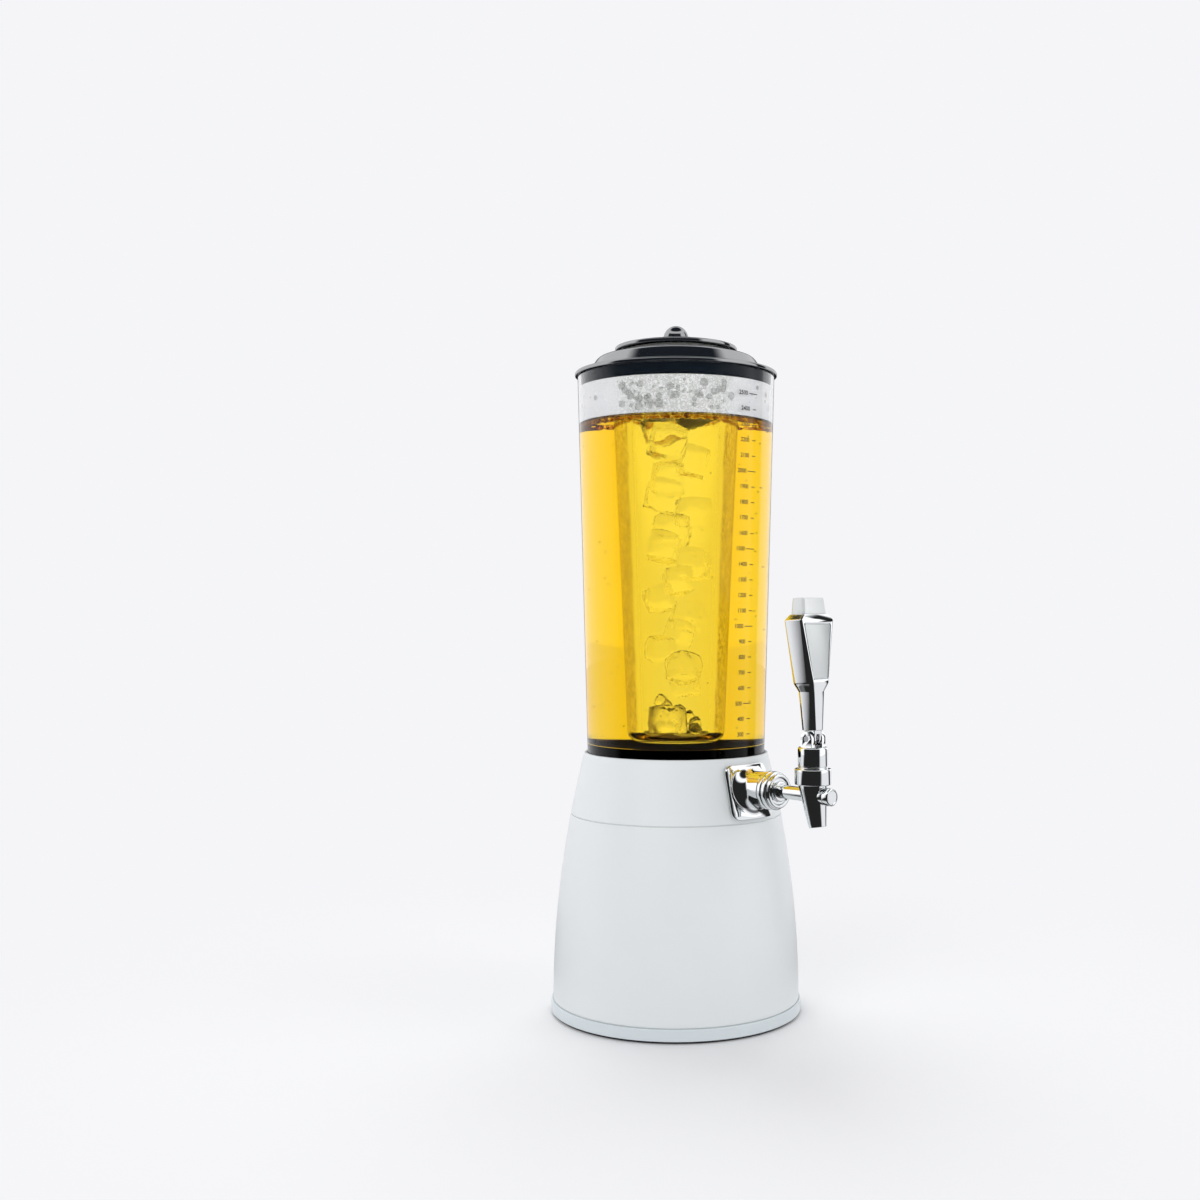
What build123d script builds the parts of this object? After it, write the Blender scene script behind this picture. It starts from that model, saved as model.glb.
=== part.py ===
"""Beer tower dispenser: a bell-shaped base with a tap, a clear tapering tube, a lid and an ice column.

Millimetres, +Z up. The origin is the centre of the flat underside, on the tower's axis.
The tap points along -Y. Each function makes one sub-part, and the list at the end writes them.
"""
from build123d import *
from math import cos, pi, radians, sin, tan
import os

os.makedirs("parts", exist_ok=True)

# ---- Clearances -------------------------------------------------------------------------------
free_gap = 0.3          # between pieces that lift off or swing past each other
glued_gap = 0.05        # between pieces that stay together
shaft_gap = 0.06        # radial, a pin or stem running in its hole

# ---- Overall ----------------------------------------------------------------------------------
tower_height = 520.0
base_diameter = 190.0
shell_wall = 2.6

# ---- Foot and base ----------------------------------------------------------------------------
foot_pad_thickness = 1.5
foot_pad_inset = 1.6
plinth_height = 8.5
plinth_wall = 8.0
plinth_taper = 0.5
plinth_edge = 0.8
plinth_ledge_width = 7.0
plinth_ledge_thickness = 2.5
plinth_spigot_height = 4.0
plinth_spigot_wall = 2.4
floor_plate_thickness = 2.5
skirt_inset = 1.7
skirt_height = 139.0
skirt_deck_thickness = 3.0
skirt_spigot_height = 4.0
skirt_spigot_wall = 2.4
collar_height = 46.5
collar_lip_height = 5.5
groove_height = 0.8
groove_depth = 1.0
tube_seat_margin = 2.8  # the collar's land round the foot of the tube

# ---- Screws of the base -----------------------------------------------------------------------
screw_radius = 1.7
screw_head_radius = 3.3
screw_head_height = 1.6
screw_grip = 12.0
screw_count = 4
boss_radius = 4.2
boss_rib = 2.4
floor_boss_height = 26.0
collar_boss_height = 15.0
reservoir_boss_height = 11.7

# ---- Reservoir --------------------------------------------------------------------------------
reservoir_wall = 2.6
reservoir_lip_rise = 6.5        # above the collar
reservoir_ledge_width = 2.2     # of the ring, under the bowl's shelf
reservoir_ledge_height = 1.5
shelf_width = 10.8
sump_floor_rise = 12.0          # underside of the sump above the skirt's deck
sump_depth = 20.5
shelf_thickness = 3.0
flange_thickness = 3.0
seal_thickness = 1.6

# ---- Tube -------------------------------------------------------------------------------------
tube_foot_inset = 28.0          # from the plinth's radius
tube_mouth_inset = 20.0
tube_wall = 3.0
tube_bead_height = 4.5
tube_bead_width = 1.2
tube_rim_round = 0.9

# ---- Lid of the tower -------------------------------------------------------------------------
lid_overhang = 2.0
lid_flange_thickness = 3.0
lid_skirt_depth = 8.5
lid_wall = 2.4
lid_ring_inset = 10.0
lid_ring_height = 11.5
lid_ring_shoulder = 8.0
lid_ring_round = 6.5
lid_dish = 0.8
lid_neck_width = 3.4
lid_neck_rise = 2.5
lid_neck_depth = 9.0

# ---- Ice column -------------------------------------------------------------------------------
column_mouth_radius = 37.0
column_foot_radius = 27.5
column_wall = 2.0
column_floor = 2.5
column_foot_round = 8.0
column_flange_width = 5.0
column_flange_thickness = 2.0
column_stand_off = 2.0          # its foot above the lip of the reservoir

# ---- Lid of the ice column and its knob -------------------------------------------------------
cover_radius = 46.5
cover_thickness = 3.0
cover_edge_round = 1.2
cover_plug_depth = 8.0
cover_plug_wall = 2.0
knob_boss_radius = 23.0
knob_boss_height = 5.0
knob_boss_round = 1.6
knob_radius = 9.5
knob_height = 11.7
knob_stud_radius = 3.0
knob_stud_length = 2.6

# ---- Tap: seat, shank and coupling ------------------------------------------------------------
tap_drop = 21.5                 # the tap's axis below the collar's top
tap_reach_beyond_neck = 65.2    # the spout's axis beyond the collar's top
seat_width = 43.0
seat_height = 39.0
seat_drop = 2.5                 # the seat's middle below the tap's axis
seat_corner = 6.0
seat_plate = 2.4
seat_gasket_thickness = 0.8
seat_flare_radius = 20.0
seat_throat_radius = 14.8
seat_throat_depth = 4.5
seat_flare_depth = 11.0
seat_flare_root = 3.0           # how far the flare starts inside the bell before it is fitted
barrel_radius = 13.0
barrel_beyond_neck = 24.2
coupling_radius = 13.8
coupling_length = 11.0
coupling_step = 1.4
coupling_edge = 0.8
coupling_groove_width = 2.6
coupling_groove_depth = 1.5
coupling_hub_rise = 1.0
shank_radius = 6.0
shank_tail_radius = 4.75
shank_bore_radius = 3.0
shank_shoulder_depth = 6.0      # inside the coupling nut
shank_socket_depth = 4.0        # of the tail in the tap body
shank_boss_radius = 8.5
shank_pad_rise = 1.4
shank_washer_thickness = 1.5
shank_washer_radius = 8.0
shank_nut_flats = 15.0
shank_nut_length = 6.0
shank_overrun = 2.0

# ---- Tap: body, bonnet and valve --------------------------------------------------------------
body_radius = 10.2
body_neck_rise = 6.0            # the start of the taper above the tap's axis
nozzle_radius = 6.3
nozzle_bore_radius = 3.8
nozzle_drop = 21.8
nozzle_lean = 9.0               # degrees, outwards
collar_nut_radius = 12.9
collar_nut_length = 11.2
collar_nut_rise = 7.5
collar_nut_edge = 0.9
collar_nut_lip = 1.7
collar_nut_wall = 1.4
bonnet_radius = 10.55
bonnet_flange_thickness = 2.0
bonnet_height = 16.8
bonnet_edge = 1.2
bonnet_spigot_length = 2.8
chamber_radius = 4.4
valve_seat_drop = 8.0           # the valve's seat below the tap's axis
valve_seal_thickness = 3.0
valve_seal_radius = 4.0
valve_seat_width = 0.8
valve_rest_gap = 0.2
stem_radius = 2.0
stem_seal_thickness = 1.6
plug_neck_radius = 4.6
plug_neck_reach = 6.0           # beyond the spout's axis
plug_boss_radius = 5.8
plug_head_radius = 6.2
plug_head_reach = 12.0
plug_head_length = 5.5
plug_head_round = 1.0

# ---- Tap: knuckle and link --------------------------------------------------------------------
pivot_rise = 5.8                # above the bonnet's top
knuckle_radius = 5.0
ear_inner = 3.9
ear_outer = 7.5
tongue_half_width = 3.6
tongue_radius = 4.6
lever_pin_radius = 2.0
link_offset = 4.2
link_pin_radius = 0.8
link_lobe_radius = 2.0
link_slot_half_width = 1.6
link_slot_top = 3.4
hook_half_width = 1.2
hook_clearance = 0.2
hook_finger = 1.1
hook_web = 1.1
hook_root_height = 3.5
lever_open = 40.0               # degrees, the lever's travel

# ---- Tap: lever -------------------------------------------------------------------------------
lever_lean = 2.5                # degrees, back towards the tube when closed
blade_start = 5.7               # heights above the pivot
blade_end = 32.5
shoulder_end = 38.5
paddle_end = 82.5
bevel_end = 86.5
blade_foot = (10.5, 12.5)       # widths across and depths along the tap's axis
blade_top = (13.5, 14.5)
paddle_foot = (20.0, 18.5)
paddle_top = (35.0, 16.0)
bevel_top = (27.0, 13.5)
blade_round = 2.0
paddle_round = 2.6
cap_foot = (25.0, 12.5)
cap_top = (23.0, 11.0)
cap_height = 11.5
cap_round = 2.2
panel_frame = 2.6
panel_round = 1.6
panel_recess = 1.0
panel_thickness = 0.6

# ---- Heights and radii worked out from the sizes above ----------------------------------------
plinth_radius = base_diameter / 2
plinth_bottom = foot_pad_thickness
plinth_top = plinth_bottom + plinth_height
floor_plate_top = plinth_bottom + floor_plate_thickness
ledge_top = floor_plate_top + plinth_ledge_thickness
skirt_radius = plinth_radius - skirt_inset
tube_foot_radius = plinth_radius - tube_foot_inset
tube_mouth_radius = plinth_radius - tube_mouth_inset
seam_height = plinth_top + skirt_height
collar_top = seam_height + collar_height
neck_radius = tube_foot_radius + tube_seat_margin
bell_height = collar_top - plinth_top

collar_lip_bottom = collar_top - collar_lip_height
tube_foot = collar_lip_bottom - glued_gap - tube_bead_height
flange_top = tube_foot - seal_thickness
flange_bottom = flange_top - flange_thickness
lip_radius = tube_foot_radius - tube_wall - 2 * free_gap
bowl_radius = lip_radius - reservoir_wall
sump_radius = bowl_radius - shelf_width
lip_top = collar_top + reservoir_lip_rise
sump_bottom = seam_height + sump_floor_rise
sump_floor = sump_bottom + reservoir_wall
shelf_bottom = sump_floor + sump_depth
shelf_top = shelf_bottom + shelf_thickness

knob_top = tower_height
knob_boss_top = knob_top - knob_height
cover_top = knob_boss_top - knob_boss_height
cover_bottom = cover_top - cover_thickness
column_flange_top = cover_bottom - free_gap
column_flange_bottom = column_flange_top - column_flange_thickness
lid_neck_top = column_flange_bottom - free_gap
lid_ring_top = lid_neck_top - lid_neck_rise
lid_flange_top = lid_ring_top - lid_ring_height
lid_flange_bottom = lid_flange_top - lid_flange_thickness
tube_top = lid_flange_bottom - free_gap
column_foot = lip_top + column_stand_off

tap_height = collar_top - tap_drop
tap_reach = neck_radius + tap_reach_beyond_neck
barrel_end = neck_radius + barrel_beyond_neck
shank_shoulder = barrel_end + shank_shoulder_depth
plug_neck_start = tap_reach + plug_neck_reach
plug_head_start = tap_reach + plug_head_reach
nut_bottom = tap_height + collar_nut_rise
nut_top = nut_bottom + collar_nut_length
bonnet_flange_top = nut_top - collar_nut_lip - glued_gap
bonnet_flange_bottom = bonnet_flange_top - bonnet_flange_thickness
bonnet_top = bonnet_flange_top + bonnet_height
pivot_height = bonnet_top + pivot_rise
valve_seat = tap_height - valve_seat_drop
coupling_end = barrel_end + coupling_length
sump_pad = sump_radius - shank_pad_rise
shank_end = sump_pad - shank_washer_thickness - shank_nut_length - shank_overrun
socket_end = tap_reach - body_radius + shank_socket_depth
nozzle_tip = tap_height - nozzle_drop

tap_frame = Plane(origin=(0, 0, tap_height), x_dir=(1, 0, 0), z_dir=(0, -1, 0))
spout_place = Pos(0, -tap_reach, 0)
pivot_place = Pos(0, -tap_reach, pivot_height)


# ---- Shared shapes ----------------------------------------------------------------------------
def bell_radius(height, offset=0.0):
    """Radius of the base's outer curve, a parabola from the plinth up to the foot of the tube."""
    rise = (height - plinth_top) / bell_height
    return skirt_radius - (skirt_radius - neck_radius) * rise**2 + offset


def bell_edge(low, high, offset):
    """The stretch of that curve between two heights, moved out by an offset."""
    slope = -2 * (skirt_radius - neck_radius) * (low - plinth_top) / bell_height**2
    middle = (low + high) / 2
    start = (bell_radius(low, offset), 0, low)
    control = (bell_radius(low, offset) + slope * (middle - low), 0, middle)
    return Bezier(start, control, (bell_radius(high, offset), 0, high))


def bell_band(low, high, outer, inner):
    """A shell that follows the bell, between two offsets from its outer curve."""
    edges = [
        bell_edge(low, high, outer),
        Line((bell_radius(high, outer), 0, high), (bell_radius(high, inner), 0, high)),
        bell_edge(low, high, inner),
        Line((bell_radius(low, inner), 0, low), (bell_radius(low, outer), 0, low)),
    ]
    return revolve(make_face(edges), Axis.Z)


def outline(corners):
    """Closed outline in the XZ plane. A corner is (radius, height) or (radius, height, rounding)."""
    spots = [Vector(corner[0], 0, corner[1]) for corner in corners]
    enters, leaves, edges = [], [], []
    for index, corner in enumerate(corners):
        here = spots[index]
        back = (spots[index - 1] - here).normalized()
        ahead = (spots[(index + 1) % len(spots)] - here).normalized()
        rounding = corner[2] if len(corner) > 2 else 0.0
        half_angle = radians(back.get_angle(ahead)) / 2
        reach = rounding / tan(half_angle)
        enters.append(here + back * reach)
        leaves.append(here + ahead * reach)
        if rounding:
            inwards = (back + ahead).normalized()
            crest = here + inwards * (rounding / sin(half_angle) - rounding)
            edges.append(ThreePointArc(enters[-1], crest, leaves[-1]))
    for index, leave in enumerate(leaves):
        edges.append(Line(leave, enters[(index + 1) % len(enters)]))
    return make_face(edges)


def lathe(corners):
    """A turned solid about the Z axis."""
    return revolve(outline(corners), Axis.Z)


def rod(radius, low, high):
    """A plain cylinder on the Z axis between two heights."""
    return Pos(0, 0, low) * Cylinder(radius, high - low, align=(Align.CENTER, Align.CENTER, Align.MIN))


def cross_rod(radius, half_length):
    """A plain cylinder along X, centred on the origin."""
    return Rot(0, 90, 0) * Cylinder(radius, 2 * half_length)


def block(low, high):
    """A box between two corners."""
    size = [b - a for a, b in zip(low, high)]
    return Pos(*low) * Box(*size, align=(Align.MIN, Align.MIN, Align.MIN))


def around(shape, count=screw_count):
    """Copies of a shape round the tower's axis, kept clear of the tap."""
    step = 360 / count
    return [Rot(0, 0, step / 2 + step * index) * shape for index in range(count)]


def tube_radius(height):
    """Outer radius of the beer tube."""
    share = (height - tube_foot) / (tube_top - tube_foot)
    return tube_foot_radius + (tube_mouth_radius - tube_foot_radius) * share


def column_radius(height):
    """Outer radius of the ice column."""
    share = (height - column_foot) / (column_flange_bottom - column_foot)
    return column_foot_radius + (column_mouth_radius - column_foot_radius) * share


# ---- Base -------------------------------------------------------------------------------------
floor_screw_circle = plinth_radius - plinth_wall - boss_radius
reservoir_screw_circle = bowl_radius - boss_radius - 1.0
collar_screw_circle = lip_radius + boss_radius + 1.8


def make_foot_pad():
    pad = rod(plinth_radius - foot_pad_inset, 0, foot_pad_thickness)
    hole = Pos(floor_screw_circle, 0, 0) * rod(boss_radius, 0, foot_pad_thickness)
    return pad - around(hole)


def make_plinth_ring():
    inner = plinth_radius - plinth_wall
    spigot = skirt_radius - shell_wall - free_gap
    ring = lathe([
        (inner - plinth_ledge_width, floor_plate_top),
        (inner, floor_plate_top),
        (inner, plinth_bottom),
        (plinth_radius, plinth_bottom, plinth_edge),
        (plinth_radius - plinth_taper, plinth_top, plinth_edge),
        (spigot, plinth_top),
        (spigot, plinth_top + plinth_spigot_height),
        (spigot - plinth_spigot_wall, plinth_top + plinth_spigot_height),
        (spigot - plinth_spigot_wall, ledge_top),
        (inner - plinth_ledge_width, ledge_top),
    ])
    hole = Pos(floor_screw_circle, 0, 0) * rod(screw_radius + glued_gap, floor_plate_top, ledge_top)
    return ring - around(hole)


def make_floor_plate():
    plate = rod(plinth_radius - plinth_wall - free_gap, plinth_bottom, floor_plate_top)
    hole = rod(screw_radius + glued_gap, plinth_bottom, floor_plate_top)
    hole += rod(screw_head_radius + glued_gap, plinth_bottom, plinth_bottom + screw_head_height)
    return plate - around(Pos(floor_screw_circle, 0, 0) * hole)


def screw_boss(circle, low, height, wall_radius, rib_low):
    """A screw boss on a circle, tied by a rib to a wall further out or in."""
    boss = Pos(circle, 0, 0) * rod(boss_radius, low, low + height)
    near, far = sorted((circle, wall_radius))
    rib = block((near, -boss_rib / 2, rib_low), (far, boss_rib / 2, low + height))
    pilot = Pos(circle, 0, 0) * rod(screw_radius + glued_gap, low, low + screw_grip)
    return boss + rib - pilot


def screws(circle, head_bottom, countersunk_depth):
    """The screws of one joint, as separate solids: heads at the bottom, points upwards."""
    shaft = rod(screw_radius, head_bottom, head_bottom + countersunk_depth + screw_grip - 1.0)
    head = rod(screw_head_radius, head_bottom, head_bottom + screw_head_height)
    return Compound(children=around(Pos(circle, 0, 0) * (shaft + head)))


def make_floor_screws():
    return screws(floor_screw_circle, plinth_bottom, ledge_top - plinth_bottom)


def make_base_skirt():
    skirt = bell_band(plinth_top, seam_height, 0, -shell_wall)
    groove = rod(plinth_radius, plinth_top, plinth_top + groove_height)
    groove -= rod(skirt_radius - groove_depth, plinth_top, plinth_top + groove_height)
    skirt -= groove
    deck_bottom = seam_height - skirt_deck_thickness
    deck_radius = bell_radius(seam_height) - shell_wall / 2
    skirt += rod(deck_radius, deck_bottom, seam_height) - rod(sump_radius, deck_bottom, seam_height)
    spigot_top = seam_height + skirt_spigot_height
    spigot = bell_radius(spigot_top) - shell_wall - free_gap
    skirt += rod(spigot, seam_height, spigot_top) - rod(spigot - skirt_spigot_wall, seam_height, spigot_top)
    wall = bell_radius(ledge_top + floor_boss_height) - shell_wall / 2
    rib_low = plinth_top + plinth_spigot_height + 1.0
    skirt += around(screw_boss(floor_screw_circle, ledge_top, floor_boss_height, wall, rib_low))
    for circle in (reservoir_screw_circle, collar_screw_circle):
        hole = Pos(circle, 0, 0) * rod(screw_radius + glued_gap, deck_bottom, seam_height)
        skirt -= around(hole)
    return skirt


def make_base_collar():
    collar = bell_band(seam_height, collar_top, 0, -shell_wall)
    collar += bell_band(collar_lip_bottom, collar_top, -shell_wall / 2, -shell_wall - collar_lip_height)
    collar -= rod(tube_radius(collar_top) + free_gap, collar_lip_bottom - 1.0, collar_top + 1.0)
    groove = rod(plinth_radius, seam_height, seam_height + groove_height)
    groove -= rod(bell_radius(seam_height) - groove_depth, seam_height, seam_height + groove_height)
    collar -= groove
    wall = bell_radius(seam_height + collar_boss_height) - shell_wall / 2
    rib_low = seam_height + skirt_spigot_height + 1.0
    collar += around(screw_boss(collar_screw_circle, seam_height, collar_boss_height, wall, rib_low))
    pad_end = bell_radius(tap_height + shank_boss_radius) - shell_wall / 2
    pad = tap_frame * rod(shank_boss_radius, flange_radius() + glued_gap, pad_end)
    hole = tap_frame * rod(shank_radius + free_gap, sump_radius, plinth_radius)
    return collar + pad - hole


def flange_radius():
    """Outer radius of the reservoir's flange, inside the collar's wall."""
    return bell_radius(flange_top) - shell_wall - free_gap


def make_collar_screws():
    deck_bottom = seam_height - skirt_deck_thickness
    return screws(collar_screw_circle, deck_bottom - screw_head_height, skirt_deck_thickness + screw_head_height)


def make_reservoir_screws():
    deck_bottom = seam_height - skirt_deck_thickness
    return screws(reservoir_screw_circle, deck_bottom - screw_head_height, skirt_deck_thickness + screw_head_height)


def make_reservoir():
    """The bowl: a sump with a shelf round it, whose edge rests on the ring's ledge."""
    rim = bowl_radius - glued_gap
    bowl = lathe([
        (0, sump_bottom),
        (sump_radius + reservoir_wall, sump_bottom, 3.0),
        (sump_radius + reservoir_wall, shelf_bottom),
        (rim, shelf_bottom),
        (rim, shelf_top, 0.6),
        (sump_radius, shelf_top, 1.5),
        (sump_radius, sump_floor, 4.0),
        (0, sump_floor),
    ])
    bowl += tap_frame * rod(shank_boss_radius, sump_pad, rim)
    return bowl - tap_frame * rod(shank_radius + free_gap, shank_end, plinth_radius)


def make_reservoir_ring():
    """The ring that carries the bowl, stands on the skirt's deck and shows as a lip inside the tube."""
    shelf_rest = shelf_bottom - glued_gap
    ledge_radius = bowl_radius - reservoir_ledge_width
    ring = lathe([
        (bowl_radius, seam_height),
        (lip_radius, seam_height),
        (lip_radius, flange_bottom),
        (flange_radius(), flange_bottom),
        (flange_radius(), flange_top),
        (lip_radius, flange_top),
        (lip_radius, lip_top, 1.2),
        (bowl_radius, lip_top, 1.2),
        (bowl_radius, shelf_rest),
        (ledge_radius, shelf_rest),
        (ledge_radius, shelf_rest - reservoir_ledge_height),
        (bowl_radius, shelf_rest - reservoir_ledge_height),
    ])
    wall = lip_radius - reservoir_wall / 2
    ring += around(screw_boss(reservoir_screw_circle, seam_height, reservoir_boss_height, wall, seam_height))
    ring -= tap_frame * rod(shank_boss_radius + glued_gap, sump_radius, bowl_radius)
    ring += tap_frame * rod(shank_boss_radius, wall, flange_radius())
    return ring - tap_frame * rod(shank_radius + free_gap, sump_radius, plinth_radius)


def make_tube_seal():
    low, high = flange_top, tube_foot
    return rod(tube_foot_radius, low, high) - rod(lip_radius + glued_gap, low, high)


def make_beer_tube():
    bead_radius = tube_foot_radius + tube_bead_width
    bead_top = tube_foot + tube_bead_height
    return lathe([
        (tube_foot_radius - tube_wall, tube_foot),
        (bead_radius, tube_foot, 0.6),
        (bead_radius, bead_top, 0.6),
        (tube_radius(bead_top), bead_top),
        (tube_mouth_radius, tube_top, tube_rim_round),
        (tube_mouth_radius - tube_wall, tube_top, tube_rim_round),
    ])


# ---- Tap: seat, shank and coupling ------------------------------------------------------------
def seat_prism(margin):
    """The outline of the tap's seat, run through the collar's wall; margin makes it smaller."""
    sketch = RectangleRounded(seat_width - 2 * margin, seat_height - 2 * margin, seat_corner - margin)
    start = Pos(0, -seat_drop, sump_radius)
    return tap_frame * extrude(start * sketch, barrel_end - sump_radius)


def seat_band(inner, outer):
    """The stretch of the bell's surface round the seat, between two offsets."""
    reach = seat_height / 2 + seat_drop
    low = max(tap_height - reach - 1.0, plinth_top)
    return bell_band(low, tap_height + reach, outer, inner)


def make_seat_gasket():
    gasket = seat_band(glued_gap, seat_gasket_thickness) & seat_prism(1.0)
    return gasket - tap_frame * rod(shank_radius + free_gap, sump_radius, barrel_end)


def make_tap_seat():
    inner = seat_gasket_thickness + glued_gap
    plate = seat_band(inner, inner + seat_plate) & seat_prism(0)
    middle = tap_height - seat_drop
    surface = bell_radius(middle, inner)
    slope = 2 * (skirt_radius - neck_radius) * (middle - plinth_top) / bell_height**2
    root = surface - seat_flare_root
    foot_plane = Plane(origin=(0, -root, middle), x_dir=(1, 0, 0), z_dir=(0, -1, slope))
    throat_plane = Plane(
        origin=(0, -surface - seat_throat_depth, middle + seat_drop / 2), x_dir=(1, 0, 0), z_dir=(0, -1, slope / 2)
    )
    end_plane = Plane(origin=(0, -surface - seat_flare_depth, tap_height), x_dir=(1, 0, 0), z_dir=(0, -1, 0))
    flare = loft([
        foot_plane * Circle(seat_flare_radius),
        throat_plane * Circle(seat_throat_radius),
        end_plane * Circle(barrel_radius),
    ])
    barrel = tap_frame * rod(barrel_radius, surface + seat_flare_depth, barrel_end)
    seat = plate + flare + barrel
    low, high = tap_height - seat_height, tap_height + seat_height / 2 + seat_drop
    seat -= bell_band(low, high, inner, -2 * seat_corner)
    return seat - tap_frame * rod(shank_radius + shaft_gap, sump_radius, barrel_end)


def make_coupling_nut():
    start = barrel_end
    step_end = coupling_end
    hub_radius = shank_tail_radius + coupling_groove_width
    rim_inner = hub_radius + coupling_groove_width
    nut = lathe([
        (shank_radius + shaft_gap, start),
        (coupling_radius, start, coupling_edge),
        (coupling_radius, step_end - 2 * coupling_step, coupling_edge),
        (coupling_radius - coupling_step, step_end - 2 * coupling_step),
        (coupling_radius - coupling_step, step_end, coupling_edge),
        (rim_inner, step_end),
        (rim_inner - 0.6, step_end - coupling_groove_depth),
        (hub_radius, step_end - coupling_groove_depth),
        (hub_radius, step_end + coupling_hub_rise, 0.6),
        (shank_tail_radius + shaft_gap, step_end + coupling_hub_rise),
        (shank_tail_radius + shaft_gap, shank_shoulder + shaft_gap),
        (shank_radius + shaft_gap, shank_shoulder + shaft_gap),
    ])
    return tap_frame * nut


def make_tap_shank():
    shank = lathe([
        (shank_bore_radius, shank_end),
        (shank_radius, shank_end, 0.6),
        (shank_radius, shank_shoulder),
        (shank_tail_radius, shank_shoulder),
        (shank_tail_radius, socket_end),
        (shank_bore_radius, socket_end),
    ])
    return tap_frame * shank


def make_shank_washer():
    start = sump_pad - shank_washer_thickness
    washer = rod(shank_washer_radius, start, sump_pad) - rod(shank_radius + glued_gap, start, sump_pad)
    return tap_frame * washer


def make_shank_nut():
    end = sump_pad - shank_washer_thickness
    hexagon = RegularPolygon(shank_nut_flats / 2, 6, major_radius=False)
    nut = Pos(0, 0, end - shank_nut_length) * extrude(hexagon, shank_nut_length)
    return tap_frame * (nut - rod(shank_radius + glued_gap, end - shank_nut_length, end))


# ---- Tap: body, bonnet and valve --------------------------------------------------------------
def nozzle_place():
    """The plane of the nozzle's mouth, square to its leaning axis."""
    taper_top = tap_height + body_neck_rise
    shift = (taper_top - nozzle_tip) * tan(radians(nozzle_lean))
    normal = (0, sin(radians(nozzle_lean)), cos(radians(nozzle_lean)))
    return Plane(origin=(0, -tap_reach - shift, nozzle_tip), x_dir=(1, 0, 0), z_dir=normal)


def make_tap_body():
    taper_top = tap_height + body_neck_rise
    thread_radius = collar_nut_radius - collar_nut_wall - glued_gap
    top = bonnet_flange_bottom - glued_gap
    mouth = nozzle_place()
    upper = Plane(origin=(0, -tap_reach, taper_top), x_dir=(1, 0, 0), z_dir=(0, 0, 1))
    body = loft([mouth * Circle(nozzle_radius), upper * Circle(body_radius)])
    body += spout_place * rod(body_radius, taper_top, top)
    body += spout_place * rod(thread_radius, nut_bottom + 1.0, top)
    body += tap_frame * rod(plug_boss_radius, tap_reach + chamber_radius, plug_head_start - glued_gap)
    body -= spout_place * rod(chamber_radius, valve_seat, top)
    seat_plane = upper.offset(valve_seat - taper_top)
    body -= loft([
        mouth.offset(-1.0) * Circle(nozzle_bore_radius),
        seat_plane * Circle(valve_seal_radius - valve_seat_width),
    ])
    body -= tap_frame * rod(shank_tail_radius + glued_gap, tap_reach - 2 * body_radius, socket_end)
    body -= tap_frame * rod(shank_bore_radius, socket_end, tap_reach)
    hole_start = tap_reach + chamber_radius - 0.5
    return body - tap_frame * rod(plug_neck_radius + glued_gap, hole_start, plug_head_start)


def make_front_plug():
    plug = lathe([
        (0, plug_neck_start),
        (plug_neck_radius, plug_neck_start),
        (plug_neck_radius, plug_head_start),
        (plug_head_radius, plug_head_start, 0.5),
        (plug_head_radius, plug_head_start + plug_head_length, plug_head_round),
        (0, plug_head_start + plug_head_length),
    ])
    return tap_frame * plug


def make_collar_nut():
    hole = bonnet_radius + free_gap / 2
    nut = lathe([
        (collar_nut_radius - collar_nut_wall, nut_bottom),
        (collar_nut_radius, nut_bottom, collar_nut_edge),
        (collar_nut_radius, nut_top, collar_nut_edge),
        (hole, nut_top, 0.4),
        (hole, nut_top - collar_nut_lip),
        (collar_nut_radius - collar_nut_wall, nut_top - collar_nut_lip),
    ])
    return spout_place * nut


def ear(side):
    """One ear of the knuckle, round about the pivot, with its foot on the bonnet."""
    foot = block((ear_inner, -knuckle_radius, -pivot_rise - 1.0), (ear_outer, knuckle_radius, 0))
    middle = (ear_inner + ear_outer) / 2
    eye = Pos(middle, 0, 0) * cross_rod(knuckle_radius, (ear_outer - ear_inner) / 2)
    shape = foot + eye
    return shape if side > 0 else mirror(shape, Plane.YZ)


def hook_reach():
    """Outer edge of the stem's hook, on the tower's side of the pivot."""
    return link_offset + link_pin_radius + free_gap + hook_web


def hook_root_top():
    """Top of the hook's root below the pivot: it stays clear of the lever's pin when lifted."""
    return -lever_pin_radius - free_gap - link_offset * sin(radians(lever_open))


def make_tap_bonnet():
    flange_radius_here = collar_nut_radius - collar_nut_wall - glued_gap
    spigot_bottom = bonnet_flange_bottom - bonnet_spigot_length
    sleeve = lathe([
        (0, spigot_bottom),
        (chamber_radius - glued_gap, spigot_bottom),
        (chamber_radius - glued_gap, bonnet_flange_bottom),
        (flange_radius_here, bonnet_flange_bottom),
        (flange_radius_here, bonnet_flange_top),
        (bonnet_radius, bonnet_flange_top),
        (bonnet_radius, bonnet_top, bonnet_edge),
        (0, bonnet_top),
    ])
    bonnet = spout_place * sleeve
    for side in (-1, 1):
        bonnet += pivot_place * ear(side)
    bonnet -= pivot_place * cross_rod(lever_pin_radius + glued_gap, ear_outer + 1.0)
    bonnet -= spout_place * rod(stem_radius + shaft_gap, spigot_bottom, bonnet_top)
    pocket_side = hook_half_width + free_gap
    pocket_low = hook_root_top() - hook_root_height - free_gap
    pocket = block(
        (-pocket_side, -stem_radius - free_gap, pocket_low), (pocket_side, hook_reach() + free_gap, 0)
    )
    return bonnet - pivot_place * pocket


def make_stem_seal():
    high = bonnet_flange_bottom - bonnet_spigot_length
    low = high - stem_seal_thickness
    seal = rod(chamber_radius - glued_gap, low, high) - rod(stem_radius + shaft_gap, low, high)
    return spout_place * seal


def make_lever_pin():
    return pivot_place * cross_rod(lever_pin_radius, ear_outer)


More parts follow.
